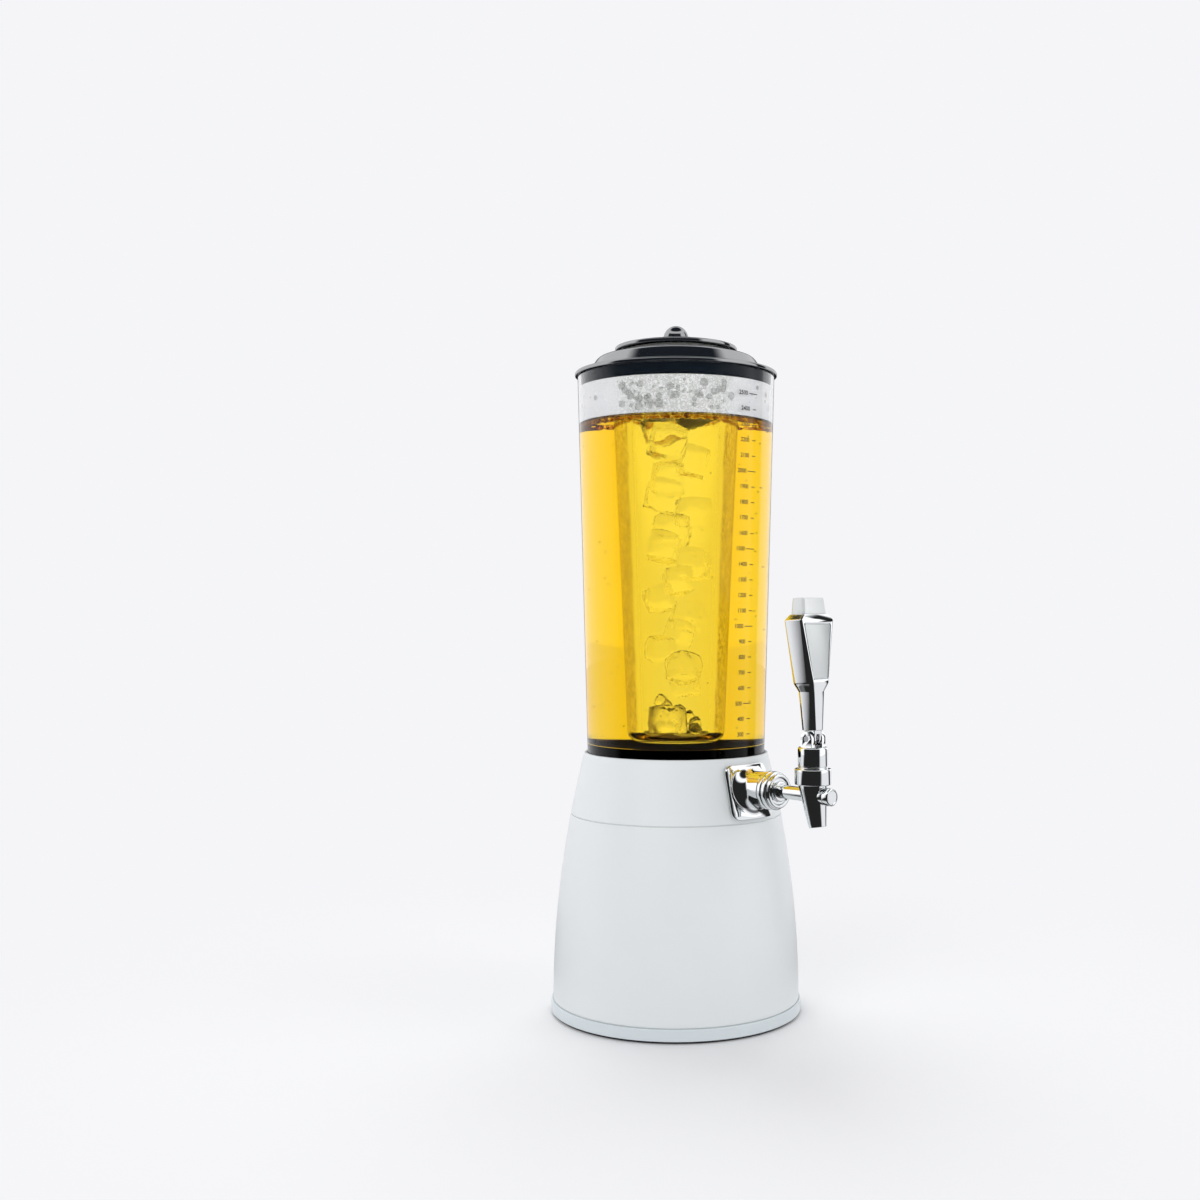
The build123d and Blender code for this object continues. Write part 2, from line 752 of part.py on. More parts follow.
def make_valve_stem():
    foot = valve_seat + valve_rest_gap + valve_seal_thickness
    root_top = hook_root_top()
    root_bottom = root_top - hook_root_height
    stem = spout_place * rod(stem_radius, foot, pivot_height + root_bottom + 1.0)
    pin_top = link_pin_radius + hook_clearance
    inner = lever_pin_radius + free_gap
    low_finger = pivot_place * block((-hook_half_width, inner, root_bottom), (hook_half_width, hook_reach(), -pin_top))
    root = pivot_place * block(
        (-hook_half_width, -stem_radius, root_bottom), (hook_half_width, hook_reach(), root_top)
    )
    web = pivot_place * block(
        (-hook_half_width, hook_reach() - hook_web, root_bottom), (hook_half_width, hook_reach(), pin_top + hook_finger)
    )
    high_finger = pivot_place * block(
        (-hook_half_width, inner + 0.7, pin_top), (hook_half_width, hook_reach(), pin_top + hook_finger)
    )
    return stem + root + low_finger + web + high_finger


def make_valve_seal():
    low = valve_seat + valve_rest_gap
    return spout_place * rod(valve_seal_radius, low, low + valve_seal_thickness)


# ---- Tap: lever -------------------------------------------------------------------------------
def lever_section(size, height, rounding):
    """A rounded rectangle across the lever, at a height above the pivot."""
    return Pos(0, 0, height) * RectangleRounded(size[0], size[1], rounding)


def lever_tilt():
    """The lever's closed place: leaning back about the pivot."""
    return pivot_place * Rot(-lever_lean, 0, 0)


def panel_face():
    """The front of the paddle as a plane, and the panel's outline on it."""
    rise = paddle_end - shoulder_end
    fall = (paddle_foot[1] - paddle_top[1]) / 2
    middle = (0, -(paddle_foot[1] + paddle_top[1]) / 4, (shoulder_end + paddle_end) / 2)
    return Plane(origin=middle, x_dir=(1, 0, 0), z_dir=(0, -rise, fall)), rise


def panel_outline(margin):
    """The inlay's outline: the paddle's front less its frame."""
    rise = panel_face()[1]
    half = rise / 2 - panel_frame - margin
    spread = (paddle_top[0] - paddle_foot[0]) / (2 * rise)
    middle = (paddle_top[0] + paddle_foot[0]) / 4 - panel_frame - margin
    low, high = middle - spread * half, middle + spread * half
    shape = make_face(Polyline((-low, -half), (low, -half), (high, half), (-high, half), close=True))
    return fillet(shape.vertices(), panel_round - margin)


def make_tap_lever():
    paddle = loft(
        [
            lever_section(blade_foot, blade_start, blade_round),
            lever_section(blade_top, blade_end, blade_round),
            lever_section(paddle_foot, shoulder_end, paddle_round),
            lever_section(paddle_top, paddle_end, paddle_round),
            lever_section(bevel_top, bevel_end, paddle_round),
        ],
        ruled=True,
    )
    plane, _ = panel_face()
    paddle -= plane * extrude(panel_outline(0), -panel_recess)
    handle = Rot(-lever_lean, 0, 0) * paddle
    neck = block(
        (-tongue_half_width, -tongue_radius, 0), (tongue_half_width, tongue_radius, blade_start + 1.0)
    )
    lobe = block(
        (-tongue_half_width, 0, -link_lobe_radius), (tongue_half_width, link_offset, link_lobe_radius)
    )
    lobe += Pos(0, link_offset, 0) * cross_rod(link_lobe_radius, tongue_half_width)
    lever = handle + neck + cross_rod(tongue_radius, tongue_half_width) + lobe
    slot = block(
        (-link_slot_half_width, -2 * tongue_radius, -2 * tongue_radius),
        (link_slot_half_width, 2 * tongue_radius, link_slot_top),
    )
    lever -= slot
    lever -= cross_rod(lever_pin_radius + shaft_gap, ear_outer)
    lever -= Pos(0, link_offset, 0) * cross_rod(link_pin_radius + glued_gap, ear_outer)
    return pivot_place * lever


def make_link_pin():
    return pivot_place * Pos(0, link_offset, 0) * cross_rod(link_pin_radius, tongue_half_width)


def make_handle_panel():
    plane, _ = panel_face()
    panel = plane.offset(-panel_recess) * extrude(panel_outline(glued_gap), panel_thickness)
    return lever_tilt() * panel


def make_handle_cap():
    cap = loft([
        lever_section(cap_foot, bevel_end, cap_round),
        lever_section(cap_top, bevel_end + cap_height, cap_round),
    ])
    cap = fillet(cap.faces().sort_by(Axis.Z)[-1].edges(), cap_round / 3)
    return lever_tilt() * cap


# ---- Lids and ice column ----------------------------------------------------------------------
def make_tower_lid():
    flange_radius_here = tube_mouth_radius + lid_overhang
    skirt_bottom = lid_flange_bottom - lid_skirt_depth
    skirt_outer = tube_radius(skirt_bottom) - tube_wall - free_gap
    ring_foot = flange_radius_here - lid_ring_inset
    ring_crest = ring_foot - lid_ring_shoulder
    hole = column_radius(lid_neck_top) + free_gap
    neck = hole + lid_neck_width
    under = lid_ring_top - lid_wall
    return lathe([
        (hole, lid_neck_top, 0.4),
        (hole, lid_neck_top - lid_neck_depth, 0.4),
        (hole + lid_wall, lid_neck_top - lid_neck_depth),
        (hole + lid_wall, under - lid_dish),
        (ring_crest - 0.5, under, lid_ring_round / 2),
        (ring_foot - lid_wall, lid_flange_bottom + 0.6, 1.0),
        (skirt_outer - lid_wall, lid_flange_bottom + 0.6),
        (skirt_outer - lid_wall, skirt_bottom, 0.5),
        (skirt_outer, skirt_bottom, 0.8),
        (skirt_outer, lid_flange_bottom),
        (flange_radius_here, lid_flange_bottom, 0.6),
        (flange_radius_here, lid_flange_top, 1.6),
        (ring_foot, lid_flange_top, 1.0),
        (ring_crest, lid_ring_top, lid_ring_round),
        (neck, lid_ring_top - lid_dish, 0.6),
        (neck, lid_neck_top, 0.8),
    ])


def make_ice_column():
    flange = column_mouth_radius + column_flange_width
    inner_floor = column_foot + column_floor
    return lathe([
        (0, column_foot),
        (column_foot_radius, column_foot, column_foot_round),
        (column_mouth_radius, column_flange_bottom),
        (flange, column_flange_bottom),
        (flange, column_flange_top, 0.7),
        (column_mouth_radius - column_wall, column_flange_top, 0.5),
        (column_foot_radius - column_wall, inner_floor, column_foot_round - column_wall),
        (0, inner_floor),
    ])


def make_column_lid():
    plug_bottom = cover_bottom - cover_plug_depth
    plug = column_radius(plug_bottom) - column_wall - free_gap
    disc = lathe([
        (0, cover_bottom),
        (plug - cover_plug_wall, cover_bottom),
        (plug - cover_plug_wall, plug_bottom, 0.5),
        (plug, plug_bottom, 0.8),
        (plug, cover_bottom),
        (cover_radius, cover_bottom, 0.8),
        (cover_radius, cover_top, cover_edge_round),
        (0, cover_top),
    ])
    return disc - rod(knob_stud_radius + glued_gap, cover_bottom, cover_top)


def make_lid_knob():
    dome_start = knob_top - knob_radius
    knob = lathe([
        (0, cover_top - knob_stud_length),
        (knob_stud_radius, cover_top - knob_stud_length),
        (knob_stud_radius, cover_top),
        (knob_boss_radius, cover_top),
        (knob_boss_radius, knob_boss_top, knob_boss_round),
        (0, knob_boss_top),
    ])
    knob += rod(knob_radius, knob_boss_top, dome_start)
    dome = Sphere(knob_radius, arc_size1=0, align=(Align.CENTER, Align.CENTER, Align.MIN))
    return knob + Pos(0, 0, dome_start) * dome


makers = {
    "foot_pad": make_foot_pad,
    "plinth_ring": make_plinth_ring,
    "floor_plate": make_floor_plate,
    "floor_screws": make_floor_screws,
    "base_skirt": make_base_skirt,
    "base_collar": make_base_collar,
    "collar_screws": make_collar_screws,
    "reservoir": make_reservoir,
    "reservoir_ring": make_reservoir_ring,
    "reservoir_screws": make_reservoir_screws,
    "tube_seal": make_tube_seal,
    "beer_tube": make_beer_tube,
    "seat_gasket": make_seat_gasket,
    "tap_seat": make_tap_seat,
    "coupling_nut": make_coupling_nut,
    "tap_shank": make_tap_shank,
    "shank_washer": make_shank_washer,
    "shank_nut": make_shank_nut,
    "tap_body": make_tap_body,
    "front_plug": make_front_plug,
    "collar_nut": make_collar_nut,
    "tap_bonnet": make_tap_bonnet,
    "stem_seal": make_stem_seal,
    "lever_pin": make_lever_pin,
    "valve_stem": make_valve_stem,
    "valve_seal": make_valve_seal,
    "tap_lever": make_tap_lever,
    "link_pin": make_link_pin,
    "handle_panel": make_handle_panel,
    "handle_cap": make_handle_cap,
    "tower_lid": make_tower_lid,
    "ice_column": make_ice_column,
    "column_lid": make_column_lid,
    "lid_knob": make_lid_knob,
}

for node, make in makers.items():
    export_step(make(), f"parts/{node}.step")
    print("wrote", node)
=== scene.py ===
"""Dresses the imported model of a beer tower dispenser: shells, clear tube, beer, ice, tap and stage."""
from math import asin, atan2, cos, pi, radians, sin, sqrt, tan
import bmesh
import bpy
from mathutils import Matrix, Vector


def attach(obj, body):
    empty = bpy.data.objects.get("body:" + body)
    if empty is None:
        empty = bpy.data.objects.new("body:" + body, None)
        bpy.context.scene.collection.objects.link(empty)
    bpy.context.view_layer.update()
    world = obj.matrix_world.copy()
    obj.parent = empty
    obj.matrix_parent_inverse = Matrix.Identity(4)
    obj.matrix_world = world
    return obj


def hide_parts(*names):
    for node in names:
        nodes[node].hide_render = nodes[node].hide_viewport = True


bl_info = {
    "name": "Beer tower dispenser",
    "version": (1, 0, 0),
    "blender": (4, 5, 0),
    "location": "View3D > Sidebar > Beer tower",
    "description": "Makes the visible pieces of a beer tower dispenser round its packed frame",
    "category": "Object",
}

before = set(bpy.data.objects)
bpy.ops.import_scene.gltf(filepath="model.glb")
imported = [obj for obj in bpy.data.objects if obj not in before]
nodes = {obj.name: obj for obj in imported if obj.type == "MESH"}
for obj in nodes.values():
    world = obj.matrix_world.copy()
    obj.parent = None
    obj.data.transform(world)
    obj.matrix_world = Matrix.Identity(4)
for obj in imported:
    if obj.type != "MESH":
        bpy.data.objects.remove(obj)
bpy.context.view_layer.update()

MM = 0.001

# Sizes of the solids, in millimetres, as in the part's source.
FIT_GAP = 0.3
PLINTH_RADIUS = 95.0
PLINTH_BOTTOM = 1.5
PLINTH_TOP = 10.0
SKIRT_RADIUS = 93.3
SEAM_HEIGHT = 149.0
COLLAR_TOP = 195.5
NECK_RADIUS = 69.8
SHELL_WALL = 2.6
SPIGOT_WALL = 2.4
SPIGOT_HEIGHT = 4.0
GROOVE_HEIGHT = 0.8
GROOVE_DEPTH = 1.0
DECK_THICKNESS = 3.0
DECK_HOLE_RADIUS = 50.0
TUBE_FOOT = 185.45
TUBE_TOP = 480.4
TUBE_FOOT_RADIUS = 67.0
TUBE_MOUTH_RADIUS = 75.0
TUBE_WALL = 3.0
TUBE_BEAD_WIDTH = 1.2
TUBE_BEAD_HEIGHT = 4.5
LIP_TOP = 202.0
COLUMN_FOOT = 204.0
COLUMN_FLANGE = 498.0
COLUMN_TOP = 500.0
COLUMN_FOOT_RADIUS = 27.5
COLUMN_FOOT_ROUNDING = 8.0
COLUMN_MOUTH_RADIUS = 37.0
COLUMN_FLANGE_WIDTH = 5.0
COLUMN_WALL = 2.0
LID_WALL = 2.4
LID_SKIRT_LOW = 472.2
LID_FLANGE_LOW = 480.7
LID_FLANGE_TOP = 483.7
LID_RING_TOP = 495.2
LID_NECK_TOP = 497.7
COVER_PLUG_LOW = 492.3
COVER_LOW = 500.3
COVER_TOP = 503.3
COVER_RADIUS = 46.5
KNOB_BOSS_RADIUS = 23.0
KNOB_BOSS_TOP = 508.3
KNOB_RADIUS = 9.5
KNOB_TOP = 520.0
TAP_HEIGHT = 174.0
TAP_REACH = 135.0
SEAT_BARREL_END = 93.95
SHANK_END = 128.8
SPOUT_TOP = 188.9
SPOUT_SHOULDER = 11.4
BONNET_TOP = 207.75
PIVOT_HEIGHT = 213.55
LINK_REACH = 4.2
LEVER_LEAN = 2.5

# This side faces the camera; there the foam is painted greyer with darker bubble outlines, a painted shade.
FOAM_HEADING = radians(225.0)  # The side of the tube on which the foam is densest.

TAP_AXIS = Matrix(((1, 0, 0, 0), (0, 0, -1, 0), (0, 1, 0, TAP_HEIGHT), (0, 0, 0, 1)))
SPOUT = Matrix.Translation((0, -TAP_REACH, 0))
LEVER = Matrix.Translation((0, -TAP_REACH, PIVOT_HEIGHT)) @ Matrix.Rotation(radians(-LEVER_LEAN), 4, "X")
SIDEWAYS = Matrix.Rotation(pi / 2, 4, "Y")
UPRIGHT = Matrix.Identity(4)


# ---- Meshes ------------------------------------------------------------------------------------
def bell_radius(height, offset=0.0):
    """Outer radius of the base at a height."""
    rise = (height - PLINTH_TOP) / (COLLAR_TOP - PLINTH_TOP)
    return SKIRT_RADIUS - (SKIRT_RADIUS - NECK_RADIUS) * rise**2 + offset


def tube_radius(height):
    """Outer radius of the tube at a height."""
    share = (height - TUBE_FOOT) / (TUBE_TOP - TUBE_FOOT)
    return TUBE_FOOT_RADIUS + (TUBE_MOUTH_RADIUS - TUBE_FOOT_RADIUS) * share


def column_radius(height):
    """Outer radius of the ice column at a height."""
    share = (height - COLUMN_FOOT) / (COLUMN_FLANGE - COLUMN_FOOT)
    return COLUMN_FOOT_RADIUS + (COLUMN_MOUTH_RADIUS - COLUMN_FOOT_RADIUS) * share


def between(first, last, count):
    """Numbers in equal steps from the first to the last."""
    return [first + (last - first) * step / count for step in range(count + 1)]


def bell_run(low, high, offset):
    """Points up the bell's curve, as corners of a profile."""
    return [(bell_radius(height, offset), height) for height in between(low, high, 40)]


def arc(radius, start, end, count, across=0.0, up=0.0):
    """Points along an arc between two angles, as corners of a profile."""
    angles = between(start, end, count)
    return [(across + radius * cos(angle), up + radius * sin(angle)) for angle in angles]


def turned(point, angle):
    """A flat point turned about the origin."""
    return Vector((point.x * cos(angle) - point.y * sin(angle), point.x * sin(angle) + point.y * cos(angle)))


def profile(corners, steps=6):
    """A closed outline of (radius, height); a corner's third number is the radius of its rounding."""
    points = []
    for index, corner in enumerate(corners):
        here = Vector(corner[:2])
        rounding = corner[2] if len(corner) > 2 else 0.0
        if not rounding:
            points.append(tuple(here))
            continue
        back = (Vector(corners[index - 1][:2]) - here).normalized()
        ahead = (Vector(corners[(index + 1) % len(corners)][:2]) - here).normalized()
        half = back.angle(ahead) / 2
        centre = here + (back + ahead).normalized() * (rounding / sin(half))
        start = here + back * (rounding / tan(half)) - centre
        end = here + ahead * (rounding / tan(half)) - centre
        turn = atan2(start.x * end.y - start.y * end.x, start.dot(end))
        points += [tuple(centre + turned(start, angle)) for angle in between(0.0, turn, steps)]
    return points


def ring_of(radius, height, segments):
    """A level ring of points."""
    angles = between(0.0, 2 * pi, segments)[:-1]
    return [Vector((radius * cos(angle), radius * sin(angle), height)) for angle in angles]


def skin(rings, closed=False, caps=False):
    """A bmesh through rings of equal count; closed joins the last to the first, caps fill both ends."""
    made = bmesh.new()
    loops = [[made.verts.new(point) for point in ring] for ring in rings]
    pairs = list(zip(loops, loops[1:]))
    if closed:
        pairs.append((loops[-1], loops[0]))
    for low, high in pairs:
        if len(low) == 1 and len(high) == 1:
            continue
        count = max(len(low), len(high))
        for index in range(count):
            after = (index + 1) % count
            corners = []
            for loop, place in ((low, index), (low, after), (high, after), (high, index)):
                vert = loop[place % len(loop)]
                if vert not in corners:
                    corners.append(vert)
            made.faces.new(corners)
    if caps:
        for loop in (loops[0], loops[-1]):
            made.faces.new(loop)
    return made


def lathe(points, segments=128):
    """A closed shell turned about Z from a closed profile; points on the axis become poles."""
    rings = [
        [Vector((0, 0, height))] if radius < 1e-6 else ring_of(radius, height, segments)
        for radius, height in points
    ]
    return skin(rings, closed=True)


def placed(name, data):
    """A new object in the scene."""
    made = bpy.data.objects.new(name, data)
    bpy.context.scene.collection.objects.link(made)
    return made


def plain_mesh(name, made):
    """A bmesh turned into a mesh."""
    mesh = bpy.data.meshes.new(name)
    made.to_mesh(mesh)
    made.free()
    return mesh


def evaluated_mesh(piece):
    """The mesh that an object's modifiers or outlines come to."""
    return bpy.data.meshes.new_from_object(piece.evaluated_get(bpy.context.evaluated_depsgraph_get()))


def clean(made):
    """Merges a bmesh's doubles and turns its faces outwards."""
    bmesh.ops.remove_doubles(made, verts=made.verts, dist=1e-5)
    loose = [vert for vert in made.verts if not vert.link_faces]
    bmesh.ops.delete(made, geom=loose, context="VERTS")
    bmesh.ops.recalc_face_normals(made, faces=made.faces)


def finished_mesh(name, made, place, sharp):
    """Turns a bmesh in millimetres into a mesh in metres with outward normals."""
    clean(made)
    made.transform(Matrix.Scale(MM, 4) @ place)
    mesh = plain_mesh(name, made)
    mesh.shade_smooth()
    mesh.set_sharp_from_angle(angle=radians(sharp))
    return mesh


def add_piece(name, mesh, finish, slot, body="base", replaced=()):
    """Puts a finished mesh into the scene as a piece that rides on a body."""
    piece = placed(name, mesh)
    mesh.materials.clear()
    mesh.materials.append(finish)
    if replaced:
        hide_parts(*replaced)
    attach(piece, body)
    return piece


def shaped_piece(name, made, finish, slot, body="base", place=UPRIGHT, replaced=(), sharp=32.0):
    """A piece from a bmesh in millimetres."""
    return add_piece(name, finished_mesh(name, made, place, sharp), finish, slot, body, replaced)


def turned_piece(name, corners, finish, slot, body="base", segments=128, steps=6, **more):
    """A turned piece from a profile with rounded corners."""
    return shaped_piece(name, lathe(profile(corners, steps), segments), finish, slot, body, **more)


def applied(piece):
    """Turns a piece's modifiers into its plain mesh."""
    shaped = evaluated_mesh(piece)
    piece.modifiers.clear()
    spare = piece.data
    name = spare.name
    piece.data = shaped
    bpy.data.meshes.remove(spare)
    shaped.name = name
    return shaped


def carved(base, tools):
    """The first bmesh with the others joined to it or cut from it, in millimetres."""
    holders = []
    for index, made in enumerate([base] + [tool for _, tool in tools]):
        clean(made)
        name = f"carve_{index}"
        holders.append(placed(name, plain_mesh(name, made)))
    for (operation, _), tool in zip(tools, holders[1:]):
        modifier = holders[0].modifiers.new(operation.lower(), "BOOLEAN")
        modifier.operation = operation
        modifier.solver = "EXACT"
        modifier.object = tool
    result = bmesh.new()
    result.from_mesh(applied(holders[0]))
    for holder in holders:
        mesh = holder.data
        bpy.data.objects.remove(holder)
        bpy.data.meshes.remove(mesh)
    return result


def soften(piece, width):
    """Rounds a piece's sharp edges by a few tenths of a millimetre."""
    modifier = piece.modifiers.new("soft_edges", "BEVEL")
    modifier.width = width * MM
    modifier.segments = 2
    modifier.limit_method = "ANGLE"
    modifier.angle_limit = radians(38)
    applied(piece).set_sharp_from_angle(angle=radians(50))


def rod(radius, low, high, segments=48, place=UPRIGHT, edge=0.0):
    """A closed cylinder with softened ends, as a bmesh."""
    corners = [(0, low), (radius, low, edge), (radius, high, edge), (0, high)]
    made = lathe(profile(corners, 3), segments)
    made.transform(place)
    return made


def slab(low, high, place):
    """A closed box between two corners, as a bmesh."""
    made = bmesh.new()
    bmesh.ops.create_cube(made, size=1.0)
    size = [b - a for a, b in zip(low, high)]
    middle = [(a + b) / 2 for a, b in zip(low, high)]
    made.transform(place @ Matrix.Translation(middle) @ Matrix.Diagonal((*size, 1)))
    return made


def prism(outline, near, far, place):
    """A closed prism along X from an outline of (y, z), as a bmesh."""
    made = skin([[Vector((x, y, z)) for y, z in outline] for x in (near, far)], caps=True)
    made.transform(place)
    return made


def rounded_ring(height, width, depth, rounding, stretch=1.0):
    """A level ring round a rectangle with rounded corners, which may be longer along its depth."""
    steps = 6
    points = []
    for quarter, (side, front) in enumerate(((1, 1), (-1, 1), (-1, -1), (1, -1))):
        for step in range(steps + 1):
            angle = pi / 2 * (quarter + step / steps)
            x = side * (width / 2 - rounding) + rounding * cos(angle)
            y = front * (depth / 2 - rounding * stretch) + rounding * stretch * sin(angle)
            points.append(Vector((x, y, height)))
    return points


# ---- Node trees --------------------------------------------------------------------------------
class Value:
    """A node's output, on which ordinary arithmetic adds Math nodes."""

    def __init__(self, graph, socket):
        self.graph = graph
        self.socket = socket

    def math(self, operation, other=0.0):
        """A Math node on this value and another."""
        return self.graph.node("ShaderNodeMath", {"operation": operation}, {0: self, 1: other})

    def _swapped(self, operation, other):
        return self.graph.node("ShaderNodeMath", {"operation": operation}, {0: other, 1: self})

    def __add__(self, other):
        return self.math("ADD", other)

    def __radd__(self, other):
        return self._swapped("ADD", other)

    def __sub__(self, other):
        return self.math("SUBTRACT", other)

    def __rsub__(self, other):
        return self._swapped("SUBTRACT", other)

    def __mul__(self, other):
        return self.math("MULTIPLY", other)

    def __rmul__(self, other):
        return self._swapped("MULTIPLY", other)

    def __truediv__(self, other):
        return self.math("DIVIDE", other)

    def __pow__(self, other):
        return self.math("POWER", other)

    def above(self, other):
        """The larger of this value and another."""
        return self.math("MAXIMUM", other)

    def rising(self, low, high):
        """A soft step from 0 at the first limit to 1 at the second, which may be the lower one."""
        settings = {"interpolation_type": "SMOOTHSTEP"}
        return self.graph.node("ShaderNodeMapRange", settings, {0: self, 1: low, 2: high})

    def output(self, name):
        """Another output of the same node."""
        return Value(self.graph, self.socket.node.outputs[name])


class Graph:
    """A node tree that is built by calls."""

    def __init__(self, tree):
        self.tree = tree

    def node(self, kind, settings=None, inputs=None, output=0):
        """Adds a node: its settings first, then the values or links of its sockets."""
        made = self.tree.nodes.new(kind)
        for key, value in (settings or {}).items():
            if key == "stops":
                ramp = made.color_ramp
                while len(ramp.elements) < len(value):
                    ramp.elements.new(0.5)
                for element, (position, colour) in zip(ramp.elements, value):
                    element.position = position
                    element.color = (*colour, 1.0)
            else:
                setattr(made, key, value)
        for key, value in (inputs or {}).items():
            self.join(value, made.inputs[key])
        return Value(self, made.outputs[output])

    def join(self, value, socket):
        """Links a value to a socket, or writes a constant there."""
        if isinstance(value, Value):
            self.tree.links.new(value.socket, socket)
        else:
            socket.default_value = value

    def blend(self, factor, first, second):
        """One colour turning into another."""
        inputs = {0: factor, 6: rgba(first), 7: rgba(second)}
        return self.node("ShaderNodeMix", {"data_type": "RGBA"}, inputs, output=2)

    def parts(self, vector):
        """The X output of a Separate XYZ node, which has Y and Z too."""
        return self.node("ShaderNodeSeparateXYZ", None, {0: vector})

    def vector_math(self, operation, inputs, output=0):
        """A Vector Math node."""
        return self.node("ShaderNodeVectorMath", {"operation": operation}, inputs, output)


def rgba(colour):
    """A colour with its fourth channel, or a link as it is."""
    return colour if isinstance(colour, Value) else (*colour[:3], 1.0)


def toned(colour, share, lift=0.0):
    """A colour made darker or lighter."""
    return tuple(channel * share + lift for channel in colour)


class Finish(Graph):
    """A material with one Principled shader; constants go on the shader's own sockets."""

    def __init__(self, name, colour, roughness, **constants):
        self.material = bpy.data.materials.new(name)
        self.material.use_nodes = True
        super().__init__(self.material.node_tree)
        self.shader = self.tree.nodes["Principled BSDF"]
        self.surface = self.tree.nodes["Material Output"]
        self.set("Base Color", rgba(colour))
        self.set("Roughness", roughness)
        for key, value in constants.items():
            self.set(key.replace("_", " "), value)
        self.material.diffuse_color = rgba(colour)
        self.place = self.node("ShaderNodeTexCoord", output="Object")

    def set(self, key, value):
        """Gives one of the shader's sockets a value or a link."""
        self.join(value, self.shader.inputs[key])

    def noise(self, scale, detail=2.0, stretch=(1, 1, 1)):
        """Noise with features of about 1 / scale metres, stretched along the axes."""
        inputs = {"Vector": self.place, "Scale": stretch}
        mapping = self.node("ShaderNodeMapping", None, inputs)
        return self.node("ShaderNodeTexNoise", None, {"Vector": mapping, "Scale": scale, "Detail": detail})

    def outlines(self, scale, low, high):
        """1 on the outlines of round cells about 1 / scale metres wide, else 0."""
        inputs = {"Vector": self.place, "Scale": scale}
        distance = self.node("ShaderNodeTexVoronoi", None, inputs)
        middle = (low + high) / 2
        return distance.rising(low, middle) * distance.rising(high, middle)

    def height(self):
        """Height above the table, in metres."""
        return self.parts(self.place).output("Z")

    def facing(self):
        """0 where the surface faces the eye and 1 where it is seen edge on."""
        return self.node("ShaderNodeLayerWeight", None, {"Blend": 0.5}, output="Facing")

    def bump(self, height, distance, strength=1.0):
        """Fine relief in metres on the surface."""
        inputs = {"Height": height, "Distance": distance, "Strength": strength}
        self.set("Normal", self.node("ShaderNodeBump", None, inputs))


def clear_body(name, colour, index, tint, roughness=0.0):
    """A clear finish whose mirror reflections are weakened to a share, its tint."""
    return Finish(name, colour, roughness, IOR=index, Transmission_Weight=1.0,
                  Specular_Tint=(tint, tint, tint, 1.0))


def moulded_finish(name, colour, roughness, coat=0.0):
    """Satin moulded plastic: faint grain and slight changes of tone."""
    finish = Finish(name, colour, roughness, Coat_Weight=coat, Coat_Roughness=0.25, IOR=1.5)
    finish.set("Base Color", finish.blend(finish.noise(14.0, 3.0), toned(colour, 0.965), colour))
    finish.set("Roughness", roughness - 0.05 + 0.1 * finish.noise(60.0, 3.0))
    finish.bump(finish.noise(1500.0), 0.00006, 0.35)
    return finish.material


def gloss_finish(name, colour, roughness, polished):
    """Black plastic with faint rub marks and a little dust, polished above a height and plain below it."""
    finish = Finish(name, colour, roughness, IOR=1.45, Specular_IOR_Level=0.0, Coat_Roughness=0.01,
                    Coat_IOR=3.6)
    finish.set("Coat Weight", finish.height().rising(polished - 0.0003, polished + 0.0003))
    rubs = finish.noise(90.0, 5.0, stretch=(1, 1, 6))
    dust = finish.noise(2400.0, 1.0).rising(0.70, 0.78)
    finish.set("Roughness", roughness + 0.05 * rubs)
    finish.set("Base Color", finish.blend(dust * 0.3, colour, toned(colour, 1.0, 0.03)))
    finish.bump(finish.noise(25.0), 0.0004, 0.08)
    return finish.material


def matt_black_finish(name, colour):
    """Black moulded plastic with a fine spark finish."""
    finish = Finish(name, colour, 0.3, IOR=1.45)
    finish.set("Base Color", finish.blend(finish.noise(35.0, 3.0), colour, toned(colour, 1.4)))
    finish.set("Roughness", 0.26 + 0.1 * finish.noise(80.0, 3.0))
    finish.bump(finish.noise(1700.0), 0.00005, 0.4)
    return finish.material


def chrome_finish(name, colour, roughness):
    """Bright plating with a slight waviness and handling smudges."""
    finish = Finish(name, colour, roughness, Metallic=1.0)
    smudge = finish.noise(120.0, 4.0)
    finish.set("Roughness", roughness + 0.06 * smudge * smudge)
    finish.set("Base Color", finish.blend(smudge, toned(colour, 0.94), colour))
    finish.bump(finish.noise(70.0), 0.0005, 0.05)
    return finish.material


def brushed_finish(name, colour, roughness, metallic, stretch):
    """Satin metal with grain along one axis."""
    finish = Finish(name, colour, roughness, Metallic=metallic)
    grain = finish.noise(1600.0, stretch=stretch)
    finish.set("Roughness", roughness - 0.06 + 0.12 * grain)
    finish.set("Base Color", finish.blend(grain, toned(colour, 0.93), colour))
    finish.bump(grain, 0.00002, 0.3)
    return finish.material


def rubber_finish(name, colour):
    """Matt rubber with a fine grain."""
    finish = Finish(name, colour, 0.75, IOR=1.5)
    grain = finish.noise(1800.0, 3.0)
    finish.set("Base Color", finish.blend(grain, colour, toned(colour, 1.8)))
    finish.bump(grain, 0.00008, 0.5)
    return finish.material


def clear_finish(name, colour, index, foot=None):
    """Clear moulded plastic with a breath of haze; it is black below the height of its foot, a painted dark
    band that stands in for the black lip seen through it and the shade there.
    """
    finish = clear_body(name, colour, index, 0.12)
    finish.set("Roughness", 0.02 * finish.noise(70.0, 4.0))
    tone = finish.blend(finish.noise(40.0, 3.0), toned(colour, 0.994), colour)
    if foot:
        # Painted shade: black below the given height.
        tone = finish.blend(finish.height().rising(foot + 0.0004, foot - 0.0004), tone, (0.02, 0.02, 0.022))
    finish.set("Base Color", tone)
    return finish.material


